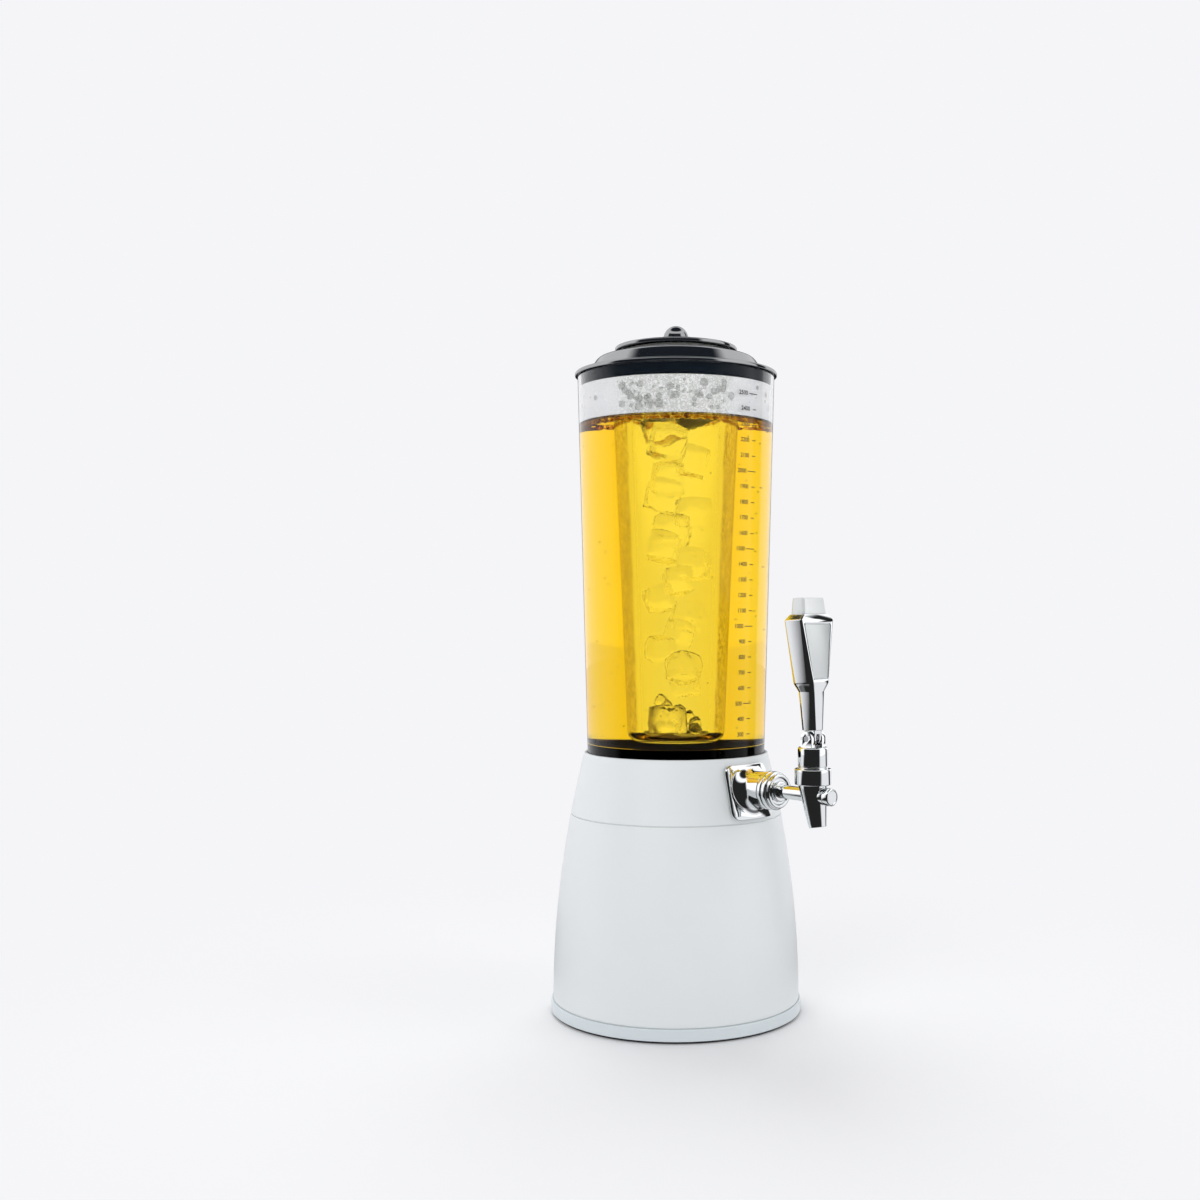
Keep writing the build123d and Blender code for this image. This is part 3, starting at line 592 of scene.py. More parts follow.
def misted_finish(name, colour, index, level):
    """Clear wall with fine bubbles where the drink covers it and a film of condensation above. Below the
    drink's level the wall is painted brown and grainy where it is seen edge on, a painted shade; the outlines
    of the condensation's drops are painted dark, a painted shade too.
    """
    finish = clear_body(name, colour, index, 0.15)
    dry = finish.height().rising(level - 0.0006, level + 0.0006)
    wander = finish.noise(60.0, 3.0) - 0.5
    fine = finish.noise(620.0)
    # Painted shade: brown grainy bands where the wall is seen edge on.
    edge = (finish.facing() + 0.07 * wander).rising(0.36, 0.42)
    grain = finish.blend(fine.rising(0.42, 0.60), (0.26, 0.19, 0.11), (0.86, 0.72, 0.52))
    wet_with_painted_edge_bands = finish.blend(edge, colour, grain)
    # Painted shade: dark outlines of the condensation's drops.
    rims_painted_dark = finish.outlines(420.0, 0.30, 0.52).above(finish.outlines(900.0, 0.34, 0.56) * 0.7)
    patches = finish.noise(90.0, 4.0).rising(0.35, 0.65)
    film = finish.blend(patches, (0.74, 0.76, 0.75), (0.86, 0.875, 0.87))
    film = finish.blend(rims_painted_dark * 0.55, film, (0.36, 0.38, 0.34))
    finish.set("Base Color", finish.blend(dry, wet_with_painted_edge_bands, film))
    finish.set("Roughness", dry * (0.30 + 0.2 * patches) + 0.02)
    finish.bump(fine, 0.0002, 0.25)
    return finish.material


def ice_finish(name, colour, rim, index):
    """Clear ice with veins and a melting skin; its edges, where seen edge on, take the rim's colour, a
    painted shade, and its veins take that colour at half strength, cloudy where the rim colour is pale and
    painted dark where it is dark.
    """
    finish = clear_body(name, colour, index, 0.7)
    veins = finish.noise(95.0, 4.0).rising(0.50, 0.72)
    # Painted shade: edges seen edge on take the rim colour.
    edge = (finish.facing() + 0.3 * (finish.noise(160.0, 3.0) - 0.5)).rising(0.20, 0.62)
    finish.set("Roughness", 0.02 + 0.10 * veins)
    finish.set("Base Color", finish.blend(edge.above(veins * 0.5), colour, rim))
    finish.bump(finish.noise(130.0, 3.0), 0.003, 0.45)
    return finish.material


def foam_finish(name, heading, radius):
    """A clinging film of foam with the outlines of its bubbles painted darker, a painted shade; it is densest
    at one heading, the side that faces the camera, where its colour is painted greyer and its outlines
    darkest, a painted shade too.
    """
    finish = Finish(name, (0.95, 0.96, 0.96), 0.45, IOR=1.33)
    patches = finish.noise(42.0, 4.0)
    cloudy = patches.rising(0.35, 0.65)
    outward = (cos(heading) / radius, sin(heading) / radius, 0.0)
    towards = finish.vector_math("DOT_PRODUCT", {0: finish.place, 1: outward}, "Value")
    # Painted shade: the side that faces the camera is painted greyer, with darker outlines.
    dense_and_shaded_side = (towards + 0.22 * (patches - 0.5)).rising(0.80, 0.90)
    rims_painted_dark = finish.outlines(150.0, 0.30, 0.46).above(finish.outlines(290.0, 0.28, 0.50))
    rims_painted_dark = rims_painted_dark.above(finish.outlines(560.0, 0.26, 0.56))
    thin = finish.blend(cloudy, (0.95, 0.965, 0.985), (0.99, 0.99, 0.995))
    thin = finish.blend(rims_painted_dark * 0.08, thin, (0.45, 0.48, 0.50))
    thick_and_shaded = finish.blend(cloudy, (0.93, 0.945, 0.93), (0.98, 0.985, 0.975))
    thick_and_shaded = finish.blend(rims_painted_dark * 0.42, thick_and_shaded, (0.30, 0.32, 0.26))
    finish.set("Base Color", finish.blend(dense_and_shaded_side, thin, thick_and_shaded))
    finish.set("Alpha", 0.91 + 0.08 * patches)
    finish.bump(rims_painted_dark, 0.0004, 0.4)
    return finish.material


def bubble_finish(name, middle, rim, index):
    """Round drops or bubbles: light in the middle and darker at the rim, where they are seen edge on; the
    darker rim is painted shade.
    """
    finish = clear_body(name, middle, index, 0.6, roughness=0.03)
    # Painted shade: the rim colour where the surface is seen edge on.
    edge = (finish.facing() + 0.1 * finish.noise(500.0)).rising(0.25, 0.75)
    finish.set("Base Color", finish.blend(edge, middle, rim))
    finish.set("Roughness", 0.02 + 0.06 * edge)
    return finish.material


def drink_finish(name, colour, depth):
    """Clear golden drink: its colour deepens with the way that light takes through it."""
    finish = clear_body(name, (1.0, 1.0, 1.0), 1.34, 0.15)
    finish.bump(finish.noise(30.0), 0.0005, 0.02)
    inputs = {"Color": rgba(colour), "Density": depth}
    absorption = finish.node("ShaderNodeVolumeAbsorption", None, inputs)
    finish.join(absorption, finish.surface.inputs["Volume"])
    return finish.material


def ink_finish(name, colour):
    """Printed ink, slightly worn."""
    finish = Finish(name, colour, 0.5, IOR=1.5)
    worn = finish.noise(1400.0, 3.0)
    finish.set("Base Color", finish.blend(worn, colour, toned(colour, 1.0, 0.03)))
    finish.set("Roughness", 0.4 + 0.3 * worn)
    return finish.material


# ---- Geometry Nodes ----------------------------------------------------------------------------
class Growth(Graph):
    """A Geometry Nodes tree with named inputs for what repeats."""

    def __init__(self, name, inputs):
        super().__init__(bpy.data.node_groups.new(name, "GeometryNodeTree"))
        self.tree.interface.new_socket("Mesh", in_out="OUTPUT", socket_type="NodeSocketGeometry")
        for label, value in {**inputs, "Seed": 1, "Finish": None}.items():
            kind = "Material" if value is None else "Int" if isinstance(value, int) else "Float"
            socket = self.tree.interface.new_socket(label, in_out="INPUT", socket_type="NodeSocket" + kind)
            if value is not None:
                socket.default_value = value
        self.entry = self.tree.nodes.new("NodeGroupInput")

    def given(self, label):
        """The value of one of the tree's inputs."""
        return Value(self, self.entry.outputs[label])

    def chance(self, low, high, draw):
        """A random number for each point; each draw has its own number."""
        inputs = {2: low, 3: high, 8: self.given("Seed") + float(draw)}
        return self.node("FunctionNodeRandomValue", None, inputs, output=1)

    def vector(self, x, y, z):
        """Three numbers as a vector."""
        return self.node("ShaderNodeCombineXYZ", None, {0: x, 1: y, 2: z})

    def on_wall(self, angle, radius, height):
        """A place at an angle round the tower's axis."""
        return self.vector(radius * angle.math("COSINE"), radius * angle.math("SINE"), height)

    def shape(self, kind, first, **inputs):
        """A geometry node, whose first socket takes a shape."""
        return self.node(f"GeometryNode{kind}", None, {0: first, **inputs})

    def finish(self, shapes):
        """Ends the tree: real meshes with the finish on them."""
        real = self.shape("RealizeInstances", shapes)
        coated = self.shape("SetMaterial", real, Material=self.given("Finish"))
        self.join(coated, self.tree.nodes.new("NodeGroupOutput").inputs[0])
        return self


def grown_piece(name, growth, values, finish, body="base"):
    """A piece that a Geometry Nodes tree makes, turned into a plain mesh."""
    piece = placed(name, bpy.data.meshes.new(name))
    modifier = piece.modifiers.new("growth", "NODES")
    modifier.node_group = growth.tree
    for item in growth.tree.interface.items_tree:
        value = finish if item.name == "Finish" else values.get(item.name)
        if value is not None:
            modifier[item.identifier] = value
    applied(piece)
    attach(piece, body)
    return piece


def bubble_growth():
    """Round bubbles or flat drops, scattered over a tapering wall; most are small."""
    growth = Growth("bubbles_on_wall", {
        "Count": 100, "Low": 0.0, "High": 0.1, "Foot radius": 0.03, "Taper": 0.0, "From": 0.0, "To": 2 * pi,
        "Smallest": 0.0002, "Largest": 0.001, "Rarity": 4.0, "Stand": 0.0, "Thickness": 1.0,
    })
    given = growth.given
    height = growth.chance(given("Low"), given("High"), 1)
    angle = growth.chance(given("From"), given("To"), 2)
    share = growth.chance(0.0, 1.0, 3) ** given("Rarity")
    size = given("Smallest") + (given("Largest") - given("Smallest")) * share
    radius = given("Foot radius") + given("Taper") * height + given("Stand") * size
    place = growth.on_wall(angle, radius, height)
    points = growth.node("GeometryNodePoints", None, {"Count": given("Count"), "Position": place})
    ball = growth.node("GeometryNodeMeshIcoSphere", None, {"Subdivisions": 2})
    ball = growth.shape("SetShadeSmooth", ball)
    outward = growth.vector(angle.math("COSINE"), angle.math("SINE"), 0.0)
    turn = growth.node("FunctionNodeAlignRotationToVector", {"axis": "X"}, {"Vector": outward})
    scale = growth.vector(size * given("Thickness"), size, size)
    return growth.finish(growth.shape("InstanceOnPoints", points, Instance=ball, Rotation=turn, Scale=scale))


def ice_growth():
    """Worn cubes of ice that wind up a tapering column."""
    growth = Growth("ice_in_column", {
        "Count": 16, "Low": 0.21, "Rise": 0.0133, "Foot radius": 0.0255, "Taper": 0.03, "Turn": 0.0,
        "Twist": 4.3, "Reach": 0.42, "Size": 0.8, "Wear": 0.4, "Tilt": 0.35,
    })
    given = growth.given
    index = growth.node("GeometryNodeInputIndex")
    height = given("Low") + given("Rise") * index
    angle = given("Turn") + given("Twist") * index + growth.chance(-0.2, 0.2, 1)
    room = given("Foot radius") + given("Taper") * height
    place = growth.on_wall(angle, room * given("Reach"), height)
    points = growth.node("GeometryNodePoints", None, {"Count": given("Count"), "Position": place})
    cube = growth.node("GeometryNodeMeshCube", None, {f"Vertices {axis}": 10 for axis in "XYZ"})
    corner = growth.node("GeometryNodeInputPosition")
    length = growth.vector_math("LENGTH", {0: corner}, "Value")
    worn = (1.0 - given("Wear")) + given("Wear") * 0.5 / length
    rounder = growth.vector_math("SCALE", {0: corner, "Scale": worn})
    cube = growth.shape("SetShadeSmooth", growth.shape("SetPosition", cube, Position=rounder))
    lean, roll = [growth.chance(-1.0, 1.0, draw) * given("Tilt") for draw in (2, 3)]
    turn = growth.vector(lean, roll, growth.chance(0.0, 2 * pi, 4))
    turn = growth.node("FunctionNodeEulerToRotation", None, {0: turn})
    scale = room * given("Size") * growth.chance(0.88, 1.06, 5)
    piled = growth.shape("InstanceOnPoints", points, Instance=cube, Rotation=turn, Scale=scale)
    waves = growth.node("ShaderNodeTexNoise", None, {"Scale": 75.0, "Detail": 1.0}, output="Color")
    waves = growth.vector_math("SUBTRACT", {0: waves, 1: (0.5, 0.5, 0.5)})
    waves = growth.vector_math("SCALE", {0: waves, "Scale": 0.0045})
    return growth.finish(growth.shape("SetPosition", growth.shape("RealizeInstances", piled), Offset=waves))


def tick_growth():
    """Printed marks up a tapering wall, every fifth of them longer."""
    growth = Growth("scale_ticks", {
        "Rows": 23, "First row": 3, "Start": 0.2, "Step": 0.0115, "Thickness": 0.0006, "Foot radius": 0.06,
        "Taper": 0.03, "Short from": 0.0053, "Short to": 0.0094, "Long from": 0.001, "Long to": 0.0102,
    })
    given = growth.given
    row = growth.node("GeometryNodeInputIndex") + given("First row")
    longer = row.math("MODULO", 5.0).math("LESS_THAN", 0.5)
    near, far = [
        given(f"Short {end}") + longer * (given(f"Long {end}") - given(f"Short {end}"))
        for end in ("from", "to")
    ]
    line = growth.node("GeometryNodeMeshLine", {"mode": "OFFSET"}, {
        "Count": given("Rows"), "Start Location": growth.vector(0.0, 0.0, given("Start")),
        "Offset": growth.vector(0.0, 0.0, given("Step"))})
    line = growth.shape("SetPosition", line, Offset=growth.vector((near + far) * 0.5, 0.0, 0.0))
    mark = growth.node("GeometryNodeMeshGrid", None, {"Vertices X": 8, "Vertices Y": 2})
    mark = growth.shape("Transform", mark, Rotation=(pi / 2, 0, 0))
    scale = growth.vector(far - near, 1.0, given("Thickness"))
    marks = growth.shape("InstanceOnPoints", line, Instance=mark, Scale=scale)
    marks = growth.shape("RealizeInstances", marks)
    flat = growth.parts(growth.node("GeometryNodeInputPosition"))
    radius = given("Foot radius") + given("Taper") * flat.output("Z")
    place = growth.on_wall(flat / radius - pi / 2, radius, flat.output("Z"))
    return growth.finish(growth.shape("SetPosition", marks, Position=place))


# ---- Settings ----------------------------------------------------------------------------------
class TowerSizes(bpy.types.PropertyGroup):
    """Sizes that a user may change without touching the solids."""

    drink_level: bpy.props.FloatProperty(
        name="Drink level", description="Height of the drink's surface", default=0.443, unit="LENGTH")
    scale_start: bpy.props.FloatProperty(
        name="Scale start", description="Height of the lowest mark", default=0.2122, unit="LENGTH")
    scale_step: bpy.props.FloatProperty(
        name="Scale step", description="Distance between marks", default=0.0113, unit="LENGTH")
    scale_first: bpy.props.IntProperty(
        name="First mark", description="Millilitres at the lowest mark", default=300)
    scale_last: bpy.props.IntProperty(
        name="Last mark", description="Millilitres at the highest mark", default=2500)
    digit_height: bpy.props.FloatProperty(
        name="Digit height", description="Height of the printed numbers", default=0.0031, unit="LENGTH")


class TowerColours(bpy.types.PropertyGroup):
    """Colours of the finishes."""

    shell: bpy.props.FloatVectorProperty(
        name="Shell", description="Satin base shells", default=(0.79, 0.82, 0.83), subtype="COLOR")
    ring: bpy.props.FloatVectorProperty(
        name="Ring", description="Ring at the foot", default=(0.69, 0.75, 0.78), subtype="COLOR")
    gloss: bpy.props.FloatVectorProperty(
        name="Lids", description="Polished lids", default=(0.006, 0.010, 0.016), subtype="COLOR")
    plating: bpy.props.FloatVectorProperty(
        name="Plating", description="Bright plating of the tap", default=(0.86, 0.88, 0.89),
        subtype="COLOR")
    panel: bpy.props.FloatVectorProperty(
        name="Panel", description="Inlay of the lever", default=(0.70, 0.73, 0.73), subtype="COLOR")
    drink: bpy.props.FloatVectorProperty(
        name="Drink", description="What the drink lets through", default=(0.999, 0.890, 0.0),
        subtype="COLOR")
    drink_depth: bpy.props.FloatProperty(
        name="Drink depth", description="How fast the drink's colour deepens, per metre", default=40.0)
    ink: bpy.props.FloatVectorProperty(
        name="Ink", description="Printed marks", default=(0.012, 0.009, 0.006), subtype="COLOR")


class TowerStage(bpy.types.PropertyGroup):
    """Camera and light."""

    distance: bpy.props.FloatProperty(
        name="Distance", description="Camera to the tower's axis", default=1.08, unit="LENGTH")
    height: bpy.props.FloatProperty(
        name="Height", description="Camera above the table", default=0.301, unit="LENGTH")
    turn: bpy.props.FloatProperty(
        name="Turn", description="Where the camera stands round the tower", default=radians(-45),
        subtype="ANGLE")
    lens: bpy.props.FloatProperty(
        name="Lens", description="Focal length in millimetres", default=42.39)
    shift_x: bpy.props.FloatProperty(
        name="Shift sideways", description="Share of the frame's width", default=-0.0633)
    shift_y: bpy.props.FloatProperty(
        name="Shift upwards", description="Share of the frame's width", default=0.0108)
    plain_light: bpy.props.FloatProperty(
        name="Plain light", description="Strength of the light from all round", default=0.62)


def finish_named(name, maker, *values, **more):
    """The material of that name, made when it is first asked for."""
    return bpy.data.materials.get(name) or maker(name, *values, **more)


def refinish(finish, *names):
    """Gives carried-over solids a finish."""
    for name in names:
        nodes[name].data.materials[0] = finish


def screw_steel():
    """Bright steel of the screws and pins."""
    return finish_named("screw_steel", brushed_finish, (0.55, 0.56, 0.58), 0.3, 1.0, (1, 1, 0.05))


def plating():
    """Bright plating of the whole tap."""
    return finish_named("bright_plating", chrome_finish, bpy.context.scene.tower_colours.plating, 0.035)


# ---- Base --------------------------------------------------------------------------------------
class TOWER_OT_base(bpy.types.Operator):
    """Make the bell-shaped shells, the ring and the foot"""

    bl_idname = "tower.make_base"
    bl_label = "Base"

    def execute(self, context):
        colours = context.scene.tower_colours
        satin = finish_named("shell_satin", moulded_finish, colours.shell, 0.42, coat=0.15)
        self.make_foot(finish_named("ring_satin", moulded_finish, colours.ring, 0.36, coat=0.2))
        self.make_skirt(satin)
        self.make_collar(satin)
        refinish(finish_named("floor_grey", moulded_finish, (0.35, 0.36, 0.38), 0.55), "floor_plate")
        refinish(screw_steel(), "floor_screws", "collar_screws", "reservoir_screws", "shank_nut", "lever_pin",
                 "valve_stem")
        refinish(finish_named("seal_rubber", rubber_finish, (0.02, 0.02, 0.02)), "tube_seal", "seat_gasket",
                 "shank_washer", "stem_seal", "valve_seal")
        refinish(finish_named("reservoir_black", matt_black_finish, (0.004, 0.004, 0.005)), "reservoir",
                 "reservoir_ring")
        return {"FINISHED"}

    def make_foot(self, satin):
        """The ring that carries the skirt on its spigot, and the dark pad under it."""
        land, ledge = PLINTH_RADIUS - 8.0, PLINTH_RADIUS - 15.0
        floor_low, floor_high = 4.0, 6.5
        spigot = SKIRT_RADIUS - SHELL_WALL - FIT_GAP
        spigot_top = PLINTH_TOP + SPIGOT_HEIGHT
        ring = [
            (ledge, floor_low), (land, floor_low), (land, PLINTH_BOTTOM), (PLINTH_RADIUS, PLINTH_BOTTOM, 0.8),
            (PLINTH_RADIUS - 0.5, PLINTH_TOP, 0.8), (spigot, PLINTH_TOP), (spigot, spigot_top),
            (spigot - SPIGOT_WALL, spigot_top), (spigot - SPIGOT_WALL, floor_high), (ledge, floor_high),
        ]
        turned_piece("foot_ring", ring, satin, "pale_ring", replaced=["plinth_ring"], segments=192)
        rim = PLINTH_RADIUS - 1.6
        pad = [(0, 0), (rim, 0, 0.5), (rim, PLINTH_BOTTOM, 0.3), (0, PLINTH_BOTTOM)]
        rubber = finish_named("foot_rubber", rubber_finish, (0.012, 0.012, 0.014))
        turned_piece("foot_pad_dark", pad, rubber, "dark_foot", replaced=["foot_pad"], segments=192)

    def make_skirt(self, satin):
        """The lower shell with its deck and the spigot that centres the upper shell."""
        groove = bell_radius(PLINTH_TOP) - GROOVE_DEPTH
        deck = SEAM_HEIGHT - DECK_THICKNESS
        top = SEAM_HEIGHT + SPIGOT_HEIGHT
        spigot = bell_radius(top) - SHELL_WALL - FIT_GAP
        skirt = [(groove, PLINTH_TOP), (groove, PLINTH_TOP + GROOVE_HEIGHT - 0.2)]
        skirt += bell_run(PLINTH_TOP + GROOVE_HEIGHT, SEAM_HEIGHT - 0.3, 0.0)
        skirt += [
            (bell_radius(SEAM_HEIGHT, -0.3), SEAM_HEIGHT), (spigot, SEAM_HEIGHT), (spigot, top),
            (spigot - SPIGOT_WALL, top), (spigot - SPIGOT_WALL, SEAM_HEIGHT), (DECK_HOLE_RADIUS, SEAM_HEIGHT),
            (DECK_HOLE_RADIUS, deck),
        ]
        skirt += reversed(bell_run(PLINTH_TOP, deck, -SHELL_WALL))
        turned_piece("skirt_shell", skirt, satin, "satin_white", replaced=["base_skirt"], segments=192)

    def make_collar(self, satin):
        """The upper shell, whose rim stands round the tube."""
        groove = bell_radius(SEAM_HEIGHT) - GROOVE_DEPTH
        lip = TUBE_FOOT + TUBE_BEAD_HEIGHT + 0.05
        hole = tube_radius(COLLAR_TOP) + FIT_GAP
        collar = [(groove, SEAM_HEIGHT), (groove, SEAM_HEIGHT + GROOVE_HEIGHT - 0.2)]
        collar += bell_run(SEAM_HEIGHT + GROOVE_HEIGHT, COLLAR_TOP - 0.8, 0.0)
        collar += [(bell_radius(COLLAR_TOP), COLLAR_TOP, 0.7), (hole, COLLAR_TOP, 0.5), (hole, lip)]
        collar += reversed(bell_run(SEAM_HEIGHT, lip, -SHELL_WALL))
        turned_piece("collar_shell", collar, satin, "satin_white", replaced=["base_collar"], segments=192)


# ---- Tube, lids and ice column -----------------------------------------------------------------
class TOWER_OT_tube(bpy.types.Operator):
    """Make the clear tapering tube"""

    bl_idname = "tower.make_tube"
    bl_label = "Tube"

    def execute(self, context):
        bead_radius = TUBE_FOOT_RADIUS + TUBE_BEAD_WIDTH
        bead_top = TUBE_FOOT + TUBE_BEAD_HEIGHT
        tube = [
            (TUBE_FOOT_RADIUS - TUBE_WALL, TUBE_FOOT), (bead_radius, TUBE_FOOT, 0.6),
            (bead_radius, bead_top, 0.6), (tube_radius(bead_top), bead_top),
            (TUBE_MOUTH_RADIUS, TUBE_TOP, 0.9), (TUBE_MOUTH_RADIUS - TUBE_WALL, TUBE_TOP, 0.9),
        ]
        # The tube is painted black below the lip's top: painted shade over the black lip seen through it.
        clear = finish_named("clear_wall", clear_finish, (0.998, 0.999, 1.0), 1.42, foot=LIP_TOP * MM)
        wall = turned_piece("tube_wall", tube, clear, "clear_plastic", replaced=["beer_tube"], segments=256)
        wall.visible_shadow = False  # The lamps light the foam and the ice behind it.
        return {"FINISHED"}


class TOWER_OT_lids(bpy.types.Operator):
    """Make the tower's lid and the ice column's lid with its knob"""

    bl_idname = "tower.make_lids"
    bl_label = "Lids"

    def execute(self, context):
        polished = (LID_FLANGE_LOW - 0.4) * MM
        gloss = finish_named("lid_black", gloss_finish, context.scene.tower_colours.gloss, 0.03, polished)
        self.make_lid(gloss)
        plug = column_radius(COVER_PLUG_LOW) - COLUMN_WALL - FIT_GAP
        cover = [
            (0, COVER_LOW), (plug - 2.0, COVER_LOW), (plug - 2.0, COVER_PLUG_LOW, 0.5),
            (plug, COVER_PLUG_LOW, 0.8), (plug, COVER_LOW), (COVER_RADIUS, COVER_LOW, 0.8),
            (COVER_RADIUS, COVER_TOP, 1.2), (0, COVER_TOP),
        ]
        turned_piece("cover_disc", cover, gloss, "black_gloss", "column_lid", replaced=["column_lid"],
                     segments=160)
        neck_foot = KNOB_RADIUS + 0.9
        knob = [
            (0, COVER_TOP), (KNOB_BOSS_RADIUS, COVER_TOP), (KNOB_BOSS_RADIUS, KNOB_BOSS_TOP, 1.6),
            (neck_foot, KNOB_BOSS_TOP), (KNOB_RADIUS, KNOB_BOSS_TOP + 0.9),
        ]
        knob += arc(KNOB_RADIUS, 0.0, pi / 2, 16, up=KNOB_TOP - KNOB_RADIUS)[:-1] + [(0, KNOB_TOP)]
        turned_piece("cover_knob", knob, gloss, "black_gloss", "column_lid", replaced=["lid_knob"],
                     segments=96)
        return {"FINISHED"}

    def make_lid(self, gloss):
        """The tower's lid: its flange, the skirt in the tube, a raised ring and the neck round the column."""
        outer = tube_radius(LID_SKIRT_LOW) - TUBE_WALL - FIT_GAP
        rim = TUBE_MOUTH_RADIUS + 2.0
        underside = LID_FLANGE_LOW + 0.6
        ring_foot, ring_crest = rim - 10.0, rim - 18.0
        hole = column_radius(LID_NECK_TOP) + FIT_GAP
        neck = hole + 3.4
        neck_low = LID_NECK_TOP - 9.0
        lid = [
            (hole, LID_NECK_TOP, 0.4), (hole, neck_low, 0.4), (hole + LID_WALL, neck_low),
            (hole + LID_WALL, LID_RING_TOP - 3.2), (ring_crest - 0.5, LID_RING_TOP - LID_WALL, 3.2),
            (ring_foot - LID_WALL, underside, 1.0), (outer - LID_WALL, underside),
            (outer - LID_WALL, LID_SKIRT_LOW, 0.5), (outer, LID_SKIRT_LOW, 0.8), (outer, LID_FLANGE_LOW),
            (rim, LID_FLANGE_LOW, 0.6), (rim, LID_FLANGE_TOP, 1.6), (ring_foot, LID_FLANGE_TOP, 1.0),
            (ring_crest, LID_RING_TOP, 6.5), (neck, LID_RING_TOP - 0.8, 0.6), (neck, LID_NECK_TOP, 0.8),
        ]
        turned_piece("lid_shell", lid, gloss, "black_gloss", "tower_lid", replaced=["tower_lid"],
                     segments=192)


class TOWER_OT_column(bpy.types.Operator):
    """Make the clear ice column"""

    bl_idname = "tower.make_column"
    bl_label = "Ice column"

    def execute(self, context):
        floor = COLUMN_FOOT + 2.5
        flange = COLUMN_MOUTH_RADIUS + COLUMN_FLANGE_WIDTH
        column = [
            (0, COLUMN_FOOT), (COLUMN_FOOT_RADIUS, COLUMN_FOOT, COLUMN_FOOT_ROUNDING),
            (COLUMN_MOUTH_RADIUS, COLUMN_FLANGE), (flange, COLUMN_FLANGE), (flange, COLUMN_TOP, 0.7),
            (COLUMN_MOUTH_RADIUS - COLUMN_WALL, COLUMN_TOP, 0.5),
            (COLUMN_FOOT_RADIUS - COLUMN_WALL, floor, COLUMN_FOOT_ROUNDING - COLUMN_WALL), (0, floor),
        ]
        level = context.scene.tower_sizes.drink_level
        misted = finish_named("misted_wall", misted_finish, (0.995, 0.99, 0.975), 1.46, level)
        piece = turned_piece("column_wall", column, misted, "clear_plastic", "ice_column",
                             replaced=["ice_column"], segments=192, steps=10)
        piece.data.materials.append(finish_named("clear_lining", clear_finish, (1.0, 1.0, 1.0), 1.46))
        for face in piece.data.polygons:
            centre = face.center / MM
            face.material_index = int(centre.to_2d().length < column_radius(centre.z) - COLUMN_WALL / 2)
        return {"FINISHED"}


# ---- Contents ----------------------------------------------------------------------------------
class TOWER_OT_drink(bpy.types.Operator):
    """Fill the tube and the reservoir with the drink"""

    bl_idname = "tower.make_drink"
    bl_label = "Drink"

    def execute(self, context):
        colours = context.scene.tower_colours
        level = context.scene.tower_sizes.drink_level / MM
        sunk = 0.15  # The drink reaches this far into the clear walls, so that no air shows between.
        bowl_floor, bowl_shelf, moat_floor, lip_level = 163.7, 187.2, 190.5, LIP_TOP + 0.2
        sump_radius, lip_inner, lip_outer = 49.9, 60.7, 63.5
        wall = tube_radius(level) - TUBE_WALL + sunk
        column = column_radius(level) - sunk
        column_foot = COLUMN_FOOT + sunk
        body = [
            (0, bowl_floor), (sump_radius - 3.9, bowl_floor), (sump_radius, bowl_floor + 3.9),
            (sump_radius, bowl_shelf), (lip_inner, bowl_shelf), (lip_inner, lip_level),
            (lip_outer, lip_level), (lip_outer, moat_floor),
            (tube_radius(moat_floor) - TUBE_WALL + sunk, moat_floor),
            (tube_radius(LIP_TOP) - TUBE_WALL + sunk, lip_level), (wall, level + 1.4),
            (wall - 0.6, level + 0.5), (wall - 1.8, level), (column + 1.6, level),
            (column + 0.5, level + 0.5), (column, level + 1.2),
            *arc(COLUMN_FOOT_ROUNDING, 0.0, -pi / 2, 10, COLUMN_FOOT_RADIUS - sunk - COLUMN_FOOT_ROUNDING,
                 column_foot + COLUMN_FOOT_ROUNDING),
            (0, column_foot),
        ]
        golden = finish_named("golden_drink", drink_finish, colours.drink, colours.drink_depth)
        turned_piece("drink", body, golden, "clear_plastic", segments=256)
        return {"FINISHED"}


def wall_values(radius_at, low, high, inset, **more):
    """The tree's values for a tapering wall between two heights, in metres, and others."""
    taper = (radius_at(high) - radius_at(low)) / (high - low)
    foot = (radius_at(low) - inset - taper * low) * MM
    return {"Low": low * MM, "High": high * MM, "Taper": taper, "Foot radius": foot, **more}


